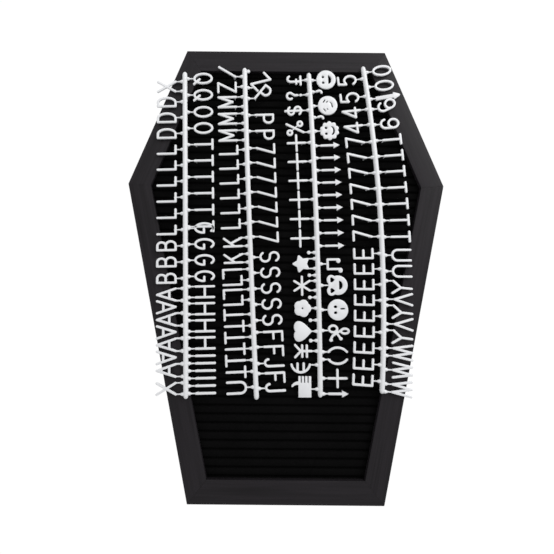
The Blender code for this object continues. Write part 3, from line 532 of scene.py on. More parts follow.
def rib_stations(sizes):
    """Places across one rib, close together where it turns into the grooves beside it."""
    edge = sizes.pitch / 2 - sizes.groove_width / 2
    turns = [math.sin(math.pi / 2 * k / 5) for k in range(6)]
    half = [edge - sizes.shoulder + sizes.shoulder * t for t in turns[:-1]] + [edge - 0.00001]
    places = [0.0, *half]
    return sorted({-p for p in places} | set(places))


def rib_strip(width, sizes):
    """One rib across the board: a strip of the groove's floor, drawn on from line to line."""
    edge = sizes.pitch / 2 - sizes.groove_width / 2
    lines = [(s, rib_height(abs(s), sizes)) for s in rib_stations(sizes)]
    lines += [(edge, -sizes.groove_depth), (sizes.pitch / 2, -sizes.groove_depth)]
    y, z = -edge, -sizes.groove_depth
    bpy.ops.mesh.primitive_grid_add(x_subdivisions=sizes.columns, y_subdivisions=1, size=1)
    strip = bpy.context.active_object
    strip.scale = (width, sizes.groove_width / 2, 1)
    strip.location = (0, y - sizes.groove_width / 4, z)
    bpy.ops.object.transform_apply(location=True, rotation=True, scale=True)
    with editing(strip):
        pick(strip, "edges", lambda e: all(v.co.y > y - 1e-6 for v in e.verts))
        for next_y, next_z in lines:
            bpy.ops.mesh.extrude_region_move(TRANSFORM_OT_translate={"value": (0, next_y - y, next_z - z)})
            y, z = next_y, next_z
    return strip


def make_felt(frame_sizes, sizes, finish):
    """One rib is repeated up the board, cut to the outline and thickened."""
    panel = inset_outline(frame_sizes, frame_sizes.rail_width - frame_sizes.rebate + PANEL_CLEARANCE)
    low = min(p.y for p in inset_outline(frame_sizes, frame_sizes.rail_width)) + sizes.lowest
    felt = rib_strip(frame_sizes.shoulder_width, sizes)
    repeat = felt.modifiers.new("ribs", "ARRAY")
    repeat.count = int((max(p.y for p in panel) - low) / sizes.pitch) + 3
    repeat.use_relative_offset = False
    repeat.use_constant_offset = True
    repeat.constant_offset_displace = (0, sizes.pitch, 0)
    repeat.use_merge_vertices = True
    repeat.merge_threshold = 1e-5
    apply_modifiers(felt)
    for vertex in felt.data.vertices:
        vertex.co += Vector((0, low - sizes.pitch / 2, FELT_TOP - 0.0001))
        where = vertex.co * 60
        vertex.co.y += sizes.unevenness * noise.noise(where)
        vertex.co.z += sizes.unevenness * 0.8 * noise.noise(where * 1.7 + Vector((9, 4, 2)))
    with editing(felt):
        for i, corner in enumerate(panel):
            way = edge_way(panel, i)
            bpy.ops.mesh.select_all(action="SELECT")
            bpy.ops.mesh.bisect(
                plane_co=(*corner, 0), plane_no=(*(-inward(way)), 0), clear_outer=True, threshold=1e-7
            )
    wall = felt.modifiers.new("felt", "SOLIDIFY")
    wall.thickness, wall.offset = sizes.thickness, -1
    apply_modifiers(felt)
    felt.name = felt.data.name = "ribbed_felt"
    felt.data.materials.clear()
    felt.data.materials.append(finish)
    select_only(felt)
    bpy.ops.object.shade_smooth_by_angle(angle=math.radians(55))
    return felt


# Letter outlines. One unit is the height of a capital between the middles of its strokes.

CIRCLE_FACETS = 28
CAP_FACETS = 6
GENTLE_BEND = 0.35
STRAIGHT = 0.0015
GATE_REACH = 0.03
STEMMED = "AFHIKLMPTVWXY/47+"
LONGEST_PEG, PEG_CLEARANCE = 6.8, 0.2  # millimetres


def arc(x, y, rx, ry, start, end):
    steps = max(3, round(abs(end - start) / 360 * CIRCLE_FACETS))
    turns = [math.radians(start + (end - start) * i / steps) for i in range(steps + 1)]
    return [(x + rx * math.cos(a), y + ry * math.sin(a)) for a in turns]


def oval(x, y, rx, ry, facets=CIRCLE_FACETS):
    return [(x + rx * math.cos(math.tau * i / facets), y + ry * math.sin(math.tau * i / facets))
            for i in range(facets)]


def loop(x, y, rx, ry):
    return arc(x, y, rx, ry, 90, 450)


def scallops(x, y, radius, waves, depth, turn=0.0):
    """A round with a wavy edge. One wave's crest points to the turn, in degrees."""
    points = []
    for i in range(waves * 8):
        a = math.tau * i / (waves * 8)
        far = radius + depth * abs(math.cos(waves / 2 * (a - math.radians(turn))))
        points.append((x + far * math.cos(a), y + far * math.sin(a)))
    return points


def star(x, y, radius, inner, points=5):
    turns = [math.pi / 2 + math.pi * i / points for i in range(2 * points)]
    return [(x + (inner if i % 2 else radius) * math.cos(a), y + (inner if i % 2 else radius) * math.sin(a))
            for i, a in enumerate(turns)]


def heart(x, y, size, count=36):
    """A heart with a shallow notch, by its width."""
    points = []
    for i in range(count):
        a = math.tau * (i + 0.5) / count
        tall = 14 * math.cos(a) - 4 * math.cos(2 * a) - 1.5 * math.cos(3 * a)
        points.append((x + size / 2 * math.sin(a) ** 3, y + tall * size / 30))
    return points


def box(x0, y0, x1, y1):
    return [(x0, y0), (x1, y0), (x1, y1), (x0, y1)]


def smile(y, half, depth):
    return arc(0, y, half, depth, 180, 360)


def face(*cuts, edge=None):
    return {"fills": [edge or oval(0, 0.57, 0.555, 0.555, 40)], "holes": list(cuts), "heads": (0,)}


def glyphs():
    """Strokes, filled outlines, holes and gates of every glyph on the sprues."""
    eyes = [oval(x, 0.745, 0.075, 0.08, 14) for x in (-0.17, 0.17)]
    winks = [[(x, 0.79), (2 * x, 0.67), (2.1 * x, 0.73), (1.1 * x, 0.86)] for x in (-0.17, 0.17)]
    winks += [[(x, 0.61), (1.55 * x, 0.53), (1.7 * x, 0.59), (1.1 * x, 0.67)] for x in (-0.16, 0.16)]
    smirk = [(0.2, 0.475), (0.11, 0.405), (0.03, 0.365), (-0.13, 0.345), (-0.13, 0.28), (0.05, 0.3),
             (0.13, 0.34), (0.21, 0.41)]
    crescent = [*smile(0.43, 0.26, 0.18), *reversed(smile(0.45, 0.2, 0.1))]
    link = [(0.15, 0.24), (0.19, 0.28), (-0.14, 0.64), (-0.18, 0.6)]
    blob = star(0, 0.36, 0.43, 0.235)
    return {
        "A": {"strokes": [[(-0.32, 0), (0, 1), (0.32, 0)], [(-0.2, 0.34), (0.2, 0.34)]],
              "gates": (-0.32, 0.32)},
        "B": {"strokes": [[(-0.22, 0), (-0.22, 1), *arc(0.02, 0.77, 0.19, 0.23, 90, -90), (-0.22, 0.54)],
                          [*arc(0.04, 0.27, 0.22, 0.27, 90, -90), (-0.22, 0)]]},
        "D": {"strokes": [[(-0.25, 0), (-0.25, 1), *arc(-0.02, 0.5, 0.27, 0.5, 90, -90), (-0.25, 0)]]},
        "E": {"strokes": [[(0.25, 1), (-0.25, 1), (-0.25, 0), (0.25, 0)], [(-0.25, 0.5), (0.17, 0.5)]]},
        "F": {"strokes": [[(-0.22, 0), (-0.22, 1), (0.26, 1)], [(-0.22, 0.52), (0.14, 0.52)]],
              "gates": (-0.22,)},
        "G": {"strokes": [[*arc(0, 0.5, 0.26, 0.5, 50, 345), (0.25, 0.48), (0.03, 0.48)]]},
        "H": {"strokes": [[(-0.29, 0), (-0.29, 1)], [(0.29, 0), (0.29, 1)], [(-0.29, 0.5), (0.29, 0.5)]],
              "gates": (-0.29, 0.29)},
        "I": {"strokes": [[(0, 0), (0, 1)]]},
        "J": {"strokes": [[(0.16, 1), *arc(-0.02, 0.19, 0.18, 0.19, 0, -180)]]},
        "K": {"strokes": [[(-0.2, -0.08), (-0.2, 0.9)], [(0.24, 0.9), (-0.2, 0.32)],
                          [(-0.03, 0.52), (0.26, -0.08)]],
              "gates": (-0.2, 0.26)},
        "L": {"strokes": [[(-0.2, 1), (-0.2, 0), (0.26, 0)]], "gates": (0.03,), "heads": (-0.2,)},
        "M": {"strokes": [[(-0.29, 0), (-0.29, 1), (0, 0.2), (0.29, 1), (0.29, 0)]],
              "gates": (-0.29, 0.29)},
        "O": {"strokes": [loop(0, 0.5, 0.28, 0.5)]},
        "P": {"strokes": [[(-0.22, 0), (-0.22, 1), *arc(0.03, 0.74, 0.22, 0.26, 90, -90), (-0.22, 0.48)]],
              "gates": (-0.22,)},
        "Q": {"strokes": [loop(0, 0.5, 0.28, 0.5), [(0.04, 0.3), (0.32, -0.02)]]},
        "S": {"strokes": [[*arc(0, 0.75, 0.24, 0.25, 25, 240), *arc(0, 0.26, 0.25, 0.26, 70, -150)]]},
        "T": {"strokes": [[(0, 0), (0, 1)], [(-0.27, 1), (0.27, 1)]]},
        "U": {"strokes": [[(-0.29, 1), *arc(0, 0.29, 0.29, 0.29, 180, 360), (0.29, 1)]]},
        "V": {"strokes": [[(-0.3, 1), (0, 0.05), (0.3, 1)]], "gate_reach": 0.1},
        "W": {"strokes": [[(-0.38, 1), (-0.2, 0), (0, 1), (0.2, 0), (0.38, 1)]],
              "gates": (-0.2, 0.2), "heads": (0,)},
        "X": {"strokes": [[(-0.29, 0), (0.29, 1)], [(0.29, 0), (-0.29, 1)]], "gates": (-0.29, 0.29)},
        "Y": {"strokes": [[(0, -0.02), (0, 0.56), (-0.33, 1)], [(0, 0.56), (0.33, 1)]], "heads": (0.33,)},
        "Z": {"strokes": [[(-0.27, 1), (0.27, 1), (-0.27, 0), (0.27, 0)]], "gates": (0.02,)},
        "/": {"strokes": [[(0, 0), (0.6, 0.93)]]},
        "0": {"strokes": [loop(0, 0.5, 0.26, 0.5)]},
        "4": {"strokes": [[(0.12, 0), (0.12, 1), (-0.28, 0.28), (0.28, 0.28)]], "gates": (0.12,)},
        "5": {"strokes": [[(0.24, 1), (-0.18, 1), (-0.22, 0.58), *arc(0, 0.33, 0.26, 0.33, 110, -150)]]},
        "6": {"strokes": [loop(0.03, 0.3, 0.25, 0.28), [*arc(0.03, 0.74, 0.25, 0.27, 10, 180), (-0.22, 0.3)]],
              "heads": (0.03,)},
        "7": {"strokes": [[(-0.25, 1), (0.25, 1), (-0.06, 0)]], "gates": (-0.06,)},
        "£": {"strokes": [[(-0.25, -0.04), (0.23, -0.04)], [(-0.18, 0.21), (0.05, 0.21)],
                          [(-0.06, -0.04), *arc(0.11, 0.5, 0.17, 0.2, 180, 30)]]},
        "?": {"strokes": [[*arc(-0.03, 0.61, 0.185, 0.175, 213, -50), (0, 0.34), (0, 0.2)]],
              "fills": [oval(0, 0, 0.08, 0.075, 12)], "gate_reach": 0.3},
        "$": {"strokes": [[*arc(0, 0.6, 0.22, 0.18, 25, 240), *arc(0, 0.22, 0.23, 0.19, 70, -150)],
                          [(0, -0.03), (0, 0.93)]]},
        "%": {"strokes": [[(-0.25, -0.05), (0.25, 0.9)], loop(0.25, 0.14, 0.13, 0.13),
                          loop(-0.25, 0.73, 0.13, 0.13)],
              "fills": [link], "gates": (-0.25,)},
        "&": {"strokes": [loop(0.1, 0.8, 0.18, 0.22), loop(-0.02, 0.16, 0.13, 0.21),
                          [(-0.5, 0.93), (-0.38, 0.9), (-0.25, 0.82), (0, 0.4)],
                          [(-0.04, 0.68), (-0.43, 0.38)]],
              "fills": [oval(-0.49, 0.92, 0.09, 0.1, 14), oval(-0.42, 0.39, 0.09, 0.1, 14)],
              "heads": (0.02,)},
        "€": {"strokes": [arc(0.27, 0.5, 0.49, 0.5, 100, 260), [(-0.19, 0.67), (0.24, 0.67)],
                          [(-0.19, 0.34), (0.24, 0.34)]],
              "gates": (0.17,)},
        "¥": {"strokes": [[(0, -0.1), (0, 0.49), (-0.32, 0.79)], [(0, 0.49), (0.32, 0.79)],
                          [(-0.3, 0.41), (0.3, 0.41)], [(-0.3, 0.16), (0.3, 0.16)]]},
        "(": {"strokes": [arc(0.42, 0.42, 0.55, 0.62, 126, 234)], "gates": (0.1,)},
        ")": {"strokes": [arc(-0.42, 0.42, 0.55, 0.62, 54, -54)], "gates": (-0.1,)},
        "+": {"strokes": [[(0, -0.1), (0, 0.88)], [(-0.45, 0.39), (0.45, 0.39)]]},
        ".": {"fills": [oval(0, -0.06, 0.1, 0.1, 14)]},
        ",": {"strokes": [[(-0.02, -0.16), (-0.06, 0), (-0.02, 0.09), (0.07, 0.13)]], "gate_reach": -0.1},
        "arrow": {"strokes": [[(0, -0.08), (0, 0.7)]], "fills": [[(-0.18, 0.62), (0.18, 0.62), (0, 0.97)]]},
        "asterisk": {"strokes": [[(-0.49, 0.36), (0.49, 0.36)], [(-0.26, -0.06), (0.26, 0.78)],
                                 [(0.26, -0.06), (-0.26, 0.78)]],
                     "gates": (-0.26, 0.26)},
        "star": {"strokes": [[*blob, blob[0]]], "fills": [blob], "gates": (-0.27, 0.27), "gate_reach": 0.12},
        "heart": {"fills": [heart(0, 0.44, 1.1)], "gate_reach": -0.1},
        "flower": {"fills": [scallops(0, 0.36, 0.41, 5, 0.07, -90)],
                   "holes": [oval(0, 0.36, 0.05, 0.05, 12)]},
        "thumb": {"fills": [[(-0.55, -0.06), (0.55, -0.06), (0.55, 0.63), (0.29, 0.63), (0.26, 0.76),
                             (0.19, 0.89), (0.09, 0.99), (0.02, 1.01), (-0.02, 0.97), (0, 0.91), (0.07, 0.84),
                             (0.1, 0.74), (0.1, 0.63), (-0.55, 0.63)]],
                  "holes": [box(0.21, y, 0.6, y + 0.055) for y in (0.085, 0.27, 0.45)],
                  "gates": (-0.12,)},
        "notes": {"strokes": [[(-0.26, 0.31), (-0.26, 1), (0.27, 1), (0.27, 0.42)]],
                  "fills": [oval(-0.33, 0.3, 0.14, 0.12, 14), oval(0.2, 0.41, 0.14, 0.12, 14)],
                  "heads": (0.03,)},
        "smiling": face(*eyes, smile(0.45, 0.255, 0.18)),
        "winking": face(*winks, smirk),
        "surprised": face(*[oval(x, 0.64, 0.075, 0.095, 12) for x in (-0.16, 0.16)],
                          oval(0.05, 0.25, 0.045, 0.14, 12), edge=oval(0, 0.51, 0.57, 0.56, 40)),
        "scalloped": face(*eyes, crescent, edge=scallops(0, 0.55, 0.46, 10, 0.09)),
        "adoring": {"fills": [oval(0, 0.47, 0.53, 0.53, 40), oval(-0.3, 0.83, 0.27, 0.25, 20),
                              oval(0.3, 0.83, 0.27, 0.25, 20)],
                    "holes": [heart(-0.29, 0.79, 0.28, 16), heart(0.29, 0.79, 0.28, 16),
                              smile(0.41, 0.24, 0.2)],
                    "heads": (0,)},
        "stub": {"fills": [oval(0, -0.33, 0.1, 0.1, 12)], "gates": ()},
        "peg": {"fills": [[(-0.11, -0.1), (0.11, -0.1), (0.11, 0.93), (0.22, 0.95), (0.06, 1.28), (0, 1.33),
                           (-0.06, 1.28), (-0.22, 0.95), (-0.11, 0.93)]]},
    }


# Each row lists glyph, first place, pitch, count and, where needed, how the glyph is turned.
# Places are millimetres from the runner's lower end. A flipped glyph has its head to the runner.

SPRUES = [
    {
        "left": [("X", 9, 0, 1), ("A", 24.8, 22.5, 4), ("A", 36.1, 22.5, 3, "flipped"),
                 ("B", 106.9, 15, 3), ("L", 151.5, 15.4, 6), ("D", 245, 15.7, 3), ("X", 292, 0, 1)],
        "right": [("I", 4.4, 6.53, 6), ("H", 48.3, 15.3, 4), ("G", 108.4, 14.9, 4), ("T", 154.6, 15.8, 6),
                  ("O", 249.7, 16.2, 2), ("Q", 283, 16.6, 2)],
    },
    {
        "left": [("U", 11.1, 0, 1), ("T", 24.9, 20.5, 3, "flipped"), ("T", 35.1, 20.6, 3),
                 ("L", 88.9, 18.2, 2), ("L", 95.6, 18.7, 2, "flipped"), ("K", 127.5, 15.2, 2),
                 ("L", 160, 14.2, 6), ("M", 245.8, 16.6, 3), ("Z", 293.7, 0, 1), ("/", 304.3, 0, 1)],
        "right": [("J", 9.5, 22, 2), ("F", 18.9, 23.6, 2), ("F", 55.8, 0, 1), ("S", 70.3, 14.5, 5),
                  ("7", 146.5, 14.2, 7), ("P", 245.7, 15.9, 2), ("P", 278.3, 0, 1, "", 50),
                  ("Z", 293.1, 0, 1, "", 41), ("stub", 309.4, 0, 1)],
    },
    {
        "left": [("thumb", 9.2, 0, 1), ("€", 25.7, 0, 1), ("¥", 40.9, 0, 1), (".", 50.3, 0, 1),
                 ("heart", 58.7, 0, 1), (".", 68.7, 0, 1), ("flower", 79.6, 0, 1), (".", 89.5, 0, 1),
                 ("asterisk", 100.3, 0, 1), (".", 109.9, 0, 1), ("star", 120.7, 0, 1), (".", 131, 0, 1),
                 ("+", 144.5, 18.4, 6), ("%", 251.1, 0, 1), ("$", 268.5, 0, 1), ("?", 284, 0, 1),
                 ("£", 298.8, 0, 1)],
        "right": [("arrow", 3.1, 0, 1), ("+", 16.7, 0, 1), (")", 31.7, 0, 1), ("(", 41.8, 0, 1),
                  ("&", 59, 0, 1, "flipped"), ("surprised", 78, 0, 1, "flipped"),
                  ("adoring", 100.4, 0, 1, "flipped"), ("notes", 119.7, 0, 1, "flipped"),
                  ("arrow", 137, 12, 9), ("scalloped", 247.4, 0, 1, "flipped"), (",", 261, 0, 1),
                  ("winking", 272.4, 0, 1, "flipped"), (",", 286.6, 0, 1),
                  ("smiling", 298.2, 0, 1, "flipped")],
    },
    {
        "left": [("E", 10.4, 14.35, 9), ("7", 142, 15.2, 7), ("4", 247.3, 15.3, 2), ("5", 277.8, 17.8, 2)],
        "right": [("W", 5.3, 31.3, 2), ("W", 21, 0, 1, "flipped"), ("Y", 50.1, 22.2, 3, "flipped", -5),
                  ("V", 61.2, 22.2, 2), ("U", 108.8, 14.7, 2), ("T", 140.5, 15.4, 7),
                  ("6", 248.1, 0, 1, "flipped"), ("6", 263.6, 0, 1, "flipped", 20),
                  ("peg", 274.4, 0, 1, "", 4), ("0", 286.6, 0, 1), ("0", 301.6, 0, 1)],
    },
]

# Runners: length, bow to the side, and where the lower and upper ends lie
RUNNER_LENGTHS = [306.6 * MM, 312.8 * MM, 305.7 * MM, 307.8 * MM]
RUNNER_BOWS = [0.0, -0.8 * MM, 2.2 * MM, 8.2 * MM]
OUTER_TOP_DROP, OUTER_TOP_INSET, OUTER_FOOT_INSET = 23.6 * MM, 8.0 * MM, 17.2 * MM
LAST_TOP_OVERLAP, LAST_TOP_X, LAST_FOOT_INSET = 4.2 * MM, 74.6 * MM, 22.0 * MM
INNER_TOPS = [(-40.7 * MM, 1.7 * MM), (21.7 * MM, -2.8 * MM)]
INNER_FEET = [-26.2 * MM, 31.4 * MM]
SEAT_GAP = 0.3 * MM
# Millimetres from the runner's end, and the share of its radius there
RUNNER_DOME = [(0.0, 0.30), (0.35, 0.55), (1.0, 0.78), (2.0, 0.94), (3.2, 1.0)]


def segments(path, half):
    """Covers a stroke with patches that share their corners in gentle bends and rounds its ends."""
    points = [Vector(p) for p in path]
    closed = (points[0] - points[-1]).length < 1e-6
    ways = [(b - a).normalized() for a, b in zip(points, points[1:])]
    last = len(ways)
    joints, patches = [], []
    for i, point in enumerate(points):
        before, after = ways[i - 1], ways[i % last]
        joint = None
        if (closed or 0 < i < last) and before.dot(after) > GENTLE_BEND:
            mitre = (inward(before) + inward(after)).normalized()
            mitre *= half / mitre.dot(inward(after))
            joint = (point + mitre, point - mitre)
        joints.append(joint)
    if closed:
        joints[-1] = joints[0]
    for i, way in enumerate(ways):
        side = inward(way) * half
        ends = []
        for k, sign in ((i, -1), (i + 1, 1)):
            if joints[k] is None:
                ends.append((points[k] + side, points[k] - side))
                turns = [math.pi / CAP_FACETS * c - math.pi / 2 for c in range(CAP_FACETS + 1)]
                patches.append([
                    points[k] + way * sign * half * math.cos(t) + side * sign * math.sin(t)
                    for t in turns
                ])
            else:
                ends.append(joints[k])
        patches.append([ends[0][0], ends[1][0], ends[1][1], ends[0][1]])
    return patches


def contains(outline, point):
    hit = False
    px, py = point
    ax, ay = outline[-1]
    for bx, by in outline:
        if (ay > py) != (by > py) and px < ax + (bx - ax) * (py - ay) / (by - ay):
            hit = not hit
        ax, ay = bx, by
    return hit


def filled_triangles(points, edges, solid, holes):
    """Triangulates the plane between the edges and keeps what lies in a solid and in no hole."""
    found, _, faces, *_ = delaunay_2d_cdt(points, edges, [], 0, 1e-5)
    kept = []
    for corners in faces:
        middle = sum((found[c] for c in corners), Vector((0, 0))) / 3
        if any(contains(s, middle) for s in solid) and not any(contains(h, middle) for h in holes):
            kept.append(corners)
    sides = {(f[i], f[(i + 1) % 3]) for f in kept for i in range(3)}
    return found, kept, sorted((a, b) for a, b in sides if (b, a) not in sides)


def straightened(points, rim):
    """The rim without the points that lie on a straight run of it."""
    follow, before = {}, {}
    for a, b in rim:
        follow.setdefault(a, []).append(b)
        before.setdefault(b, []).append(a)
    for spot in list(follow):
        if len(follow[spot]) > 1:
            continue
        a, b = before[spot][0], follow[spot][0]
        run = points[b] - points[a]
        if a != b and abs(run.cross(points[spot] - points[a])) < STRAIGHT * run.length:
            follow[a][follow[a].index(spot)] = b
            before[b][before[b].index(spot)] = a
            del follow[spot], before[spot]
    order = {old: new for new, old in enumerate(follow)}
    return [points[old] for old in follow], [(order[a], order[b]) for a, e in follow.items() for b in e]


def glyph_sheet(shape, flipped, sizes):
    """The merged flat area of one glyph, in metres: its points and triangles."""
    unit = sizes.cap_height - sizes.stroke
    half = sizes.stroke / 2 / unit
    solid = [[tuple(p) for p in patch] for path in shape.get("strokes", []) for patch in segments(path, half)]
    solid += shape.get("fills", [])
    holes = shape.get("holes", [])
    if flipped:
        solid, holes = ([[(-x, 1 - y) for x, y in outline] for outline in group] for group in (solid, holes))
    points, edges = [], []
    for outline in [*solid, *holes]:
        first, count = len(points), len(outline)
        points += [Vector(p) for p in outline]
        edges += [(first + i, first + (i + 1) % count) for i in range(count)]
    found, _, rim = filled_triangles(points, edges, solid, holes)
    found, triangles, _ = filled_triangles(*straightened(found, rim), solid, holes)
    return [p * unit for p in found], triangles


def letter_template(name, sheet, sizes):
    """A flat letter is drawn up to its thickness, and its edges are rounded by narrowing insets."""
    points, triangles = sheet
    mesh = bpy.data.meshes.new(name)
    base = -sizes.thickness / 2 + 0.15 * MM
    mesh.from_pydata([(p.x, p.y, base) for p in points], [], triangles)
    letter = bpy.data.objects.new(name, mesh)
    bpy.context.scene.collection.objects.link(letter)
    with editing(letter):
        bpy.ops.mesh.select_all(action="SELECT")
        bpy.ops.mesh.remove_doubles(threshold=0.03 * MM)
        bpy.ops.mesh.normals_make_consistent(inside=False)
        bpy.ops.mesh.extrude_region_move(
            TRANSFORM_OT_translate={"value": (0, 0, sizes.thickness - 0.5 * MM)})
        bpy.ops.mesh.select_all(action="SELECT")
        bpy.ops.mesh.normals_make_consistent(inside=False)
        pick(letter, "faces", lambda f: f.normal.z > 0.9)
        bpy.ops.mesh.inset(thickness=0.13 * MM, depth=0.22 * MM)
        bpy.ops.mesh.inset(thickness=0.22 * MM, depth=0.13 * MM)
        pick(letter, "faces", lambda f: f.normal.z < -0.9)
        bpy.ops.mesh.inset(thickness=0.15 * MM, depth=0.15 * MM)
    return letter


def round_bar(name, profile, sides):
    """A disc drawn up through a row of (height, radius) rings."""
    height, radius = profile[0]
    bpy.ops.mesh.primitive_circle_add(
        vertices=sides, radius=radius, fill_type="NGON", location=(0, 0, height)
    )
    bar = bpy.context.active_object
    bpy.ops.object.transform_apply(location=True, rotation=True, scale=True)
    bar.name = name
    with editing(bar):
        bpy.ops.mesh.select_all(action="SELECT")
        for upper, wide in profile[1:]:
            bpy.ops.mesh.extrude_region_move(TRANSFORM_OT_translate={"value": (0, 0, upper - height)})
            bpy.ops.transform.resize(value=(wide / radius, wide / radius, 1), center_override=(0, 0, upper))
            height, radius = upper, wide
        bpy.ops.mesh.select_all(action="SELECT")
        bpy.ops.mesh.normals_make_consistent(inside=False)
    return bar


def foot_below(top, run, foot_x):
    return Vector((foot_x, top.y - math.sqrt(run**2 - (foot_x - top.x) ** 2)))


def runner_ends(index, frame_sizes):
    """The runner's lower and upper ends on the board, and the height of its base at each."""
    outer = outer_corners(frame_sizes)
    lip_y = max(p.y for p in inset_outline(frame_sizes, frame_sizes.rail_width))
    on_frame, on_felt, run = RAIL_DEPTH + SEAT_GAP, FELT_TOP + SEAT_GAP, RUNNER_LENGTHS[index]
    if index == 0:
        y = frame_sizes.height / 2 - OUTER_TOP_DROP
        top = Vector((OUTER_TOP_INSET - half_width(outer, y), y))
        return foot_below(top, run, OUTER_FOOT_INSET - half_width(outer, y - run)), top, on_frame, on_frame
    if index == 3:
        top = Vector((LAST_TOP_X, lip_y + LAST_TOP_OVERLAP))
        return foot_below(top, run, half_width(outer, top.y - run) - LAST_FOOT_INSET), top, on_frame, on_frame
    x, overlap = INNER_TOPS[index - 1]
    top = Vector((x, lip_y + overlap))
    foot = foot_below(top, run, INNER_FEET[index - 1])
    slope = (on_frame - on_felt) / (lip_y - foot.y)
    return foot, top, on_felt, on_felt + slope * (top.y - foot.y)


def bowed(u, run, bow):
    """A point of the bowed axis, and the angle of the axis there."""
    t = u / run
    return Vector((u, -4 * bow * t * (1 - t))), math.atan(-4 * bow * (1 - 2 * t) / run)


def runner_bar(run, bow, radius):
    """The round runner with domed ends, bent along its axis in the sprue's own plane."""
    profile = [(z * MM, r * radius) for z, r in RUNNER_DOME]
    start, parts = RUNNER_DOME[-1][0] * MM, 36
    inner = run - 2 * start
    profile += [(start + inner * i / parts, radius) for i in range(1, parts)]
    profile += [(run - z * MM, r * radius) for z, r in reversed(RUNNER_DOME)]
    bar = round_bar("runner", profile, 24)
    for vertex in bar.data.vertices:
        spot, angle = bowed(vertex.co.z, run, bow)
        across = Vector((-math.sin(angle), math.cos(angle))) * vertex.co.y
        vertex.co = (spot.x + across.x, spot.y + across.y, vertex.co.x)
    return bar


TOWARDS_LETTER = Matrix.Rotation(math.radians(-90), 4, "X")
TOWARDS_BOARD = Matrix.Rotation(math.pi, 4, "X")
PEG_RINGS = [(0, 0.75 * MM), (0.7 * MM, 0.65 * MM), (MM, 0.35 * MM)]
PEG_ABOVE_FOOT, PEG_IN_LETTER = 0.9 * MM, 0.5 * MM
# Height past the gate's root and radius of each ring, in millimetres
GATE_RINGS = [(0.5, 1.75), (1.4, 1.5), (2.2, 1.0), (3.0, 0.66)]
GATE_ROOT_RADIUS, GATE_END_RADIUS = 1.8, 0.6


def mould_sprue(index, frame_sizes, sizes, finish):
    """One sprue: every letter, gate and peg is copied to its place, then joined to the runner."""
    shapes, templates = glyphs(), {}
    foot, top, foot_base, top_base = runner_ends(index, frame_sizes)
    run = math.dist((*foot, foot_base), (*top, top_base))
    bow, radius = RUNNER_BOWS[index], sizes.runner_radius
    up = Vector((top.x - foot.x, top.y - foot.y, top_base - foot_base)).normalized()
    left = Vector((-up.y, up.x, 0)).normalized()
    axes = Matrix((up, left, up.cross(left))).transposed().to_4x4()
    to_board = Matrix.Translation((*foot, foot_base)) @ axes @ Matrix.Translation((0, 0, radius))
    unit = sizes.cap_height - sizes.stroke
    rise = sizes.gate_length + sizes.stroke / 2
    root = sizes.gate_root
    panel = inset_outline(frame_sizes, frame_sizes.rail_width + 1.0 * MM)
    peg, pieces = round_bar("peg", PEG_RINGS, 8), []
    for side, rows in ((1, SPRUES[index]["left"]), (-1, SPRUES[index]["right"])):
        for glyph, first, pitch, count, *turned in rows:
            flipped = "flipped" in turned
            lean = math.radians(turned[1]) if len(turned) > 1 else 0.0
            shape = shapes[glyph]
            gates = [-x for x in shape["heads"]] if flipped and "heads" in shape else shape.get("gates", (0,))
            if (glyph, flipped) not in templates:
                sheet = glyph_sheet(shape, flipped, sizes)
                templates[glyph, flipped] = letter_template(f"glyph_{len(templates)}", sheet, sizes)
            swung = Matrix.Rotation(lean, 4, "Z")
            if lean:
                pivot = Matrix.Translation((gates[0] * unit, 0, 0))
                swung = pivot @ swung @ pivot.inverted()
            feet = [(x * unit, PEG_ABOVE_FOOT) for x in shape.get("gates", (0,)) if glyph in STEMMED]
            if flipped:
                feet = [(-x, unit - y) for x, y in feet]
            reach = GATE_REACH if flipped else shape.get("gate_reach", GATE_REACH)
            if ("gate", reach) not in templates:
                profile = [(root / MM + z, r) for z, r in GATE_RINGS]
                end = (root + rise + reach * unit) / MM
                profile = [(0, GATE_ROOT_RADIUS), *profile, (end, GATE_END_RADIUS)]
                templates["gate", reach] = round_bar("gate", [(z * MM, r * MM) for z, r in profile], 12)
            for k in range(count):
                spot, angle = bowed((first + pitch * k) * MM, run, bow)
                turn = Matrix.Rotation(angle + (0 if side > 0 else math.pi), 4, "Z")
                at = Matrix.Translation((*spot, 0)) @ turn @ Matrix.Translation((0, radius + rise, 0))
                pieces.append(copy_of(templates[glyph, flipped], to_board @ at @ swung))
                for x in gates:
                    start = Matrix.Translation((x * unit, -rise - root, 0))
                    pieces.append(copy_of(templates["gate", reach], to_board @ at @ start @ TOWARDS_LETTER))
                for x, y in feet:
                    behind = at @ swung @ Matrix.Translation((x, y, -PEG_IN_LETTER))
                    foot_of_letter = to_board @ behind.translation
                    room = foot_of_letter.z - (FELT_TOP if contains(panel, foot_of_letter.xy) else RAIL_DEPTH)
                    drawn = Matrix.Scale(min(LONGEST_PEG, room / MM - PEG_CLEARANCE), 4, (0, 0, 1))
                    pieces.append(copy_of(peg, to_board @ behind @ TOWARDS_BOARD @ drawn))
    bar = runner_bar(run, bow, radius)
    bar.data.transform(to_board)
    remove(peg, *templates.values())
    whole = joined(f"sprue_{index + 1}", [*pieces, bar])
    whole.data.materials.clear()
    whole.data.materials.append(finish)
    bpy.ops.object.shade_smooth_by_angle(angle=math.radians(42))
    return whole


# Operators


def repaint(nodes, finish):
    for name in nodes:
        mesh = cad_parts[name].data
        mesh.materials.clear()
        mesh.materials.append(finish)


class LETTERBOARD_OT_frame(bpy.types.Operator):
    """Makes the six mitred rails and paints them"""

    bl_idname = "letterboard.frame"
    bl_label = "Paint the frame"

    def execute(self, context):
        sizes = context.scene.board_frame
        finish = painted_wood(tuple(sizes.paint))
        for i, name in enumerate(RAIL_NAMES):
            belongs(make_rail(sizes, i, finish), "frame_paint", f"frame_rail_{name}")
        return {"FINISHED"}


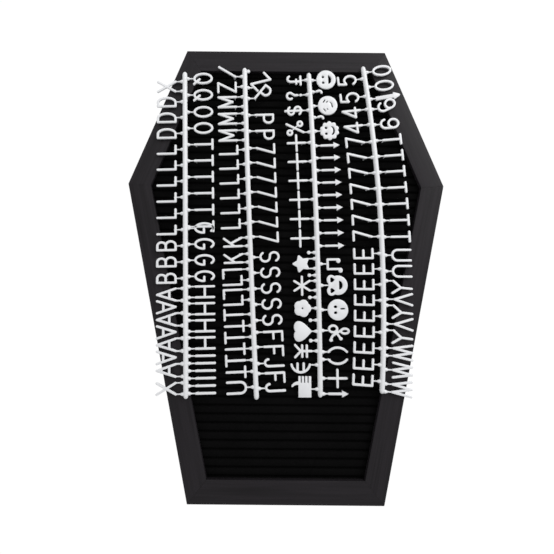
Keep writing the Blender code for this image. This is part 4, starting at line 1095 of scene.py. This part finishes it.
class LETTERBOARD_OT_felt(bpy.types.Operator):
    """Presses the ribbed felt into the panel"""

    bl_idname = "letterboard.felt"
    bl_label = "Lay the felt"

    def execute(self, context):
        sizes = context.scene.board_felt
        felt = make_felt(context.scene.board_frame, sizes, felt_cloth(tuple(sizes.dye)))
        belongs(felt, "black_felt", "felt_face")
        return {"FINISHED"}


class LETTERBOARD_OT_back(bpy.types.Operator):
    """Finishes the core, the backing and the steel parts at the back"""

    bl_idname = "letterboard.back"
    bl_label = "Finish the back"

    def execute(self, context):
        steel = [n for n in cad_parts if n.startswith(("mitre", "glazing", "sawtooth", "hanger"))]
        repaint(["core_board"], raw_fibreboard((0.32, 0.22, 0.13)))
        repaint(["backing_board"], brown_hardboard((0.20, 0.12, 0.07)))
        repaint(steel, zinc_plate((0.66, 0.66, 0.67)))
        return {"FINISHED"}


class LETTERBOARD_OT_letters(bpy.types.Operator):
    """Moulds the four sprues of letters"""

    bl_idname = "letterboard.letters"
    bl_label = "Mould the letters"

    def execute(self, context):
        sizes = context.scene.board_letters
        finish = moulded_plastic(tuple(sizes.plastic))
        for index in range(len(SPRUES)):
            sprue = mould_sprue(index, context.scene.board_frame, sizes, finish)
            belongs(sprue, "white_plastic", f"letter_sprue_{index + 1}")
        return {"FINISHED"}


# How the camera sees the board: turns about its own axes, the board's middle before it, and shift
CAMERA_TURN = (-6.472, 0.032, -0.520)
CAMERA_REACH = (0.02690, -0.02784, -0.39067)
CAMERA_SHIFT = (0.0361, -0.0758)
FLOOR_SIZE, FLOOR_DROP, FLOOR_GLOW = 8, 0.6 * MM, 1.02


def soft_box(name, spot, power):
    """A soft box that faces the board's middle."""
    bpy.ops.object.light_add(type="AREA", location=spot)
    lamp = bpy.context.active_object
    lamp.name = name
    lamp.rotation_euler = (-Vector(spot)).to_track_quat("-Z", "Y").to_euler()
    lamp.data.shape, lamp.data.size, lamp.data.size_y = "RECTANGLE", 0.9, 0.7
    lamp.data.energy = power


class LETTERBOARD_OT_stage(bpy.types.Operator):
    """Sets the floor, the light and the camera"""

    bl_idname = "letterboard.stage"
    bl_label = "Set the stage"

    def execute(self, context):
        scene, settings = context.scene, context.scene.board_stage
        scene.view_settings.view_transform = "Standard"
        world = bpy.data.worlds.new("even_light")
        scene.world = world
        world.use_nodes = True
        world.node_tree.nodes["Background"].inputs["Strength"].default_value = settings.sky
        world.node_tree.nodes["Background"].inputs["Color"].default_value = (1, 1, 1, 1)
        bpy.ops.mesh.primitive_plane_add(size=FLOOR_SIZE, location=(0, 0, -FLOOR_DROP))
        floor = context.active_object
        floor.name = "pale_floor"
        paper = Finish("pale_paper", {"Roughness": 0.9})
        tree = paper.tree
        glow = tree.nodes.new("ShaderNodeEmission")
        glow.inputs["Strength"].default_value = FLOOR_GLOW
        tree.links.new(glow.outputs[0], tree.nodes["Material Output"].inputs["Surface"])
        floor.data.materials.append(paper.material)
        soft_box("key_box", (0.8, 0.7, 0.8), settings.key)
        soft_box("fill_box", (-0.3, 0.9, 1.1), settings.fill)
        bpy.ops.object.camera_add()
        camera = context.active_object
        camera.data.lens, camera.data.sensor_width = settings.focal, 36
        camera.data.shift_x, camera.data.shift_y = CAMERA_SHIFT
        camera.data.clip_start, camera.data.clip_end = 0.01, 50
        turn = Matrix.Identity(3)
        for axis, angle in zip("XYZ", CAMERA_TURN):
            turn = Matrix.Rotation(math.radians(angle), 3, axis) @ turn
        seen = Matrix.Translation(CAMERA_REACH) @ turn.to_4x4()
        camera.matrix_world = Matrix.Translation((0, 0, RAIL_DEPTH)) @ seen.inverted()
        scene.camera = camera
        return {"FINISHED"}


class LETTERBOARD_PT_panel(bpy.types.Panel):
    """Lists the steps that make the board"""

    bl_idname = "LETTERBOARD_PT_panel"
    bl_label = "Letter Board"
    bl_space_type = "VIEW_3D"
    bl_region_type = "UI"
    bl_category = "Letter Board"

    def draw(self, context):
        for step in STEPS:
            self.layout.operator(step.bl_idname)
        for group, kind in SETTINGS.items():
            box_layout = self.layout.box()
            for name in kind.__annotations__:
                box_layout.prop(getattr(context.scene, group), name)


STEPS = (
    LETTERBOARD_OT_frame,
    LETTERBOARD_OT_felt,
    LETTERBOARD_OT_back,
    LETTERBOARD_OT_letters,
    LETTERBOARD_OT_stage,
)
SETTINGS = {
    "board_frame": FrameSettings,
    "board_felt": FeltSettings,
    "board_letters": LetterSettings,
    "board_stage": StageSettings,
}


def register():
    for kind in (*SETTINGS.values(), *STEPS, LETTERBOARD_PT_panel):
        bpy.utils.register_class(kind)
    for name, kind in SETTINGS.items():
        setattr(bpy.types.Scene, name, PointerProperty(type=kind))


def unregister():
    for name in SETTINGS:
        delattr(bpy.types.Scene, name)
    for kind in reversed((*SETTINGS.values(), *STEPS, LETTERBOARD_PT_panel)):
        bpy.utils.unregister_class(kind)


def main():
    register()
    bpy.ops.letterboard.frame()
    bpy.ops.letterboard.felt()
    bpy.ops.letterboard.back()
    bpy.ops.letterboard.letters()
    bpy.ops.letterboard.stage()


if __name__ == "__main__":
    main()
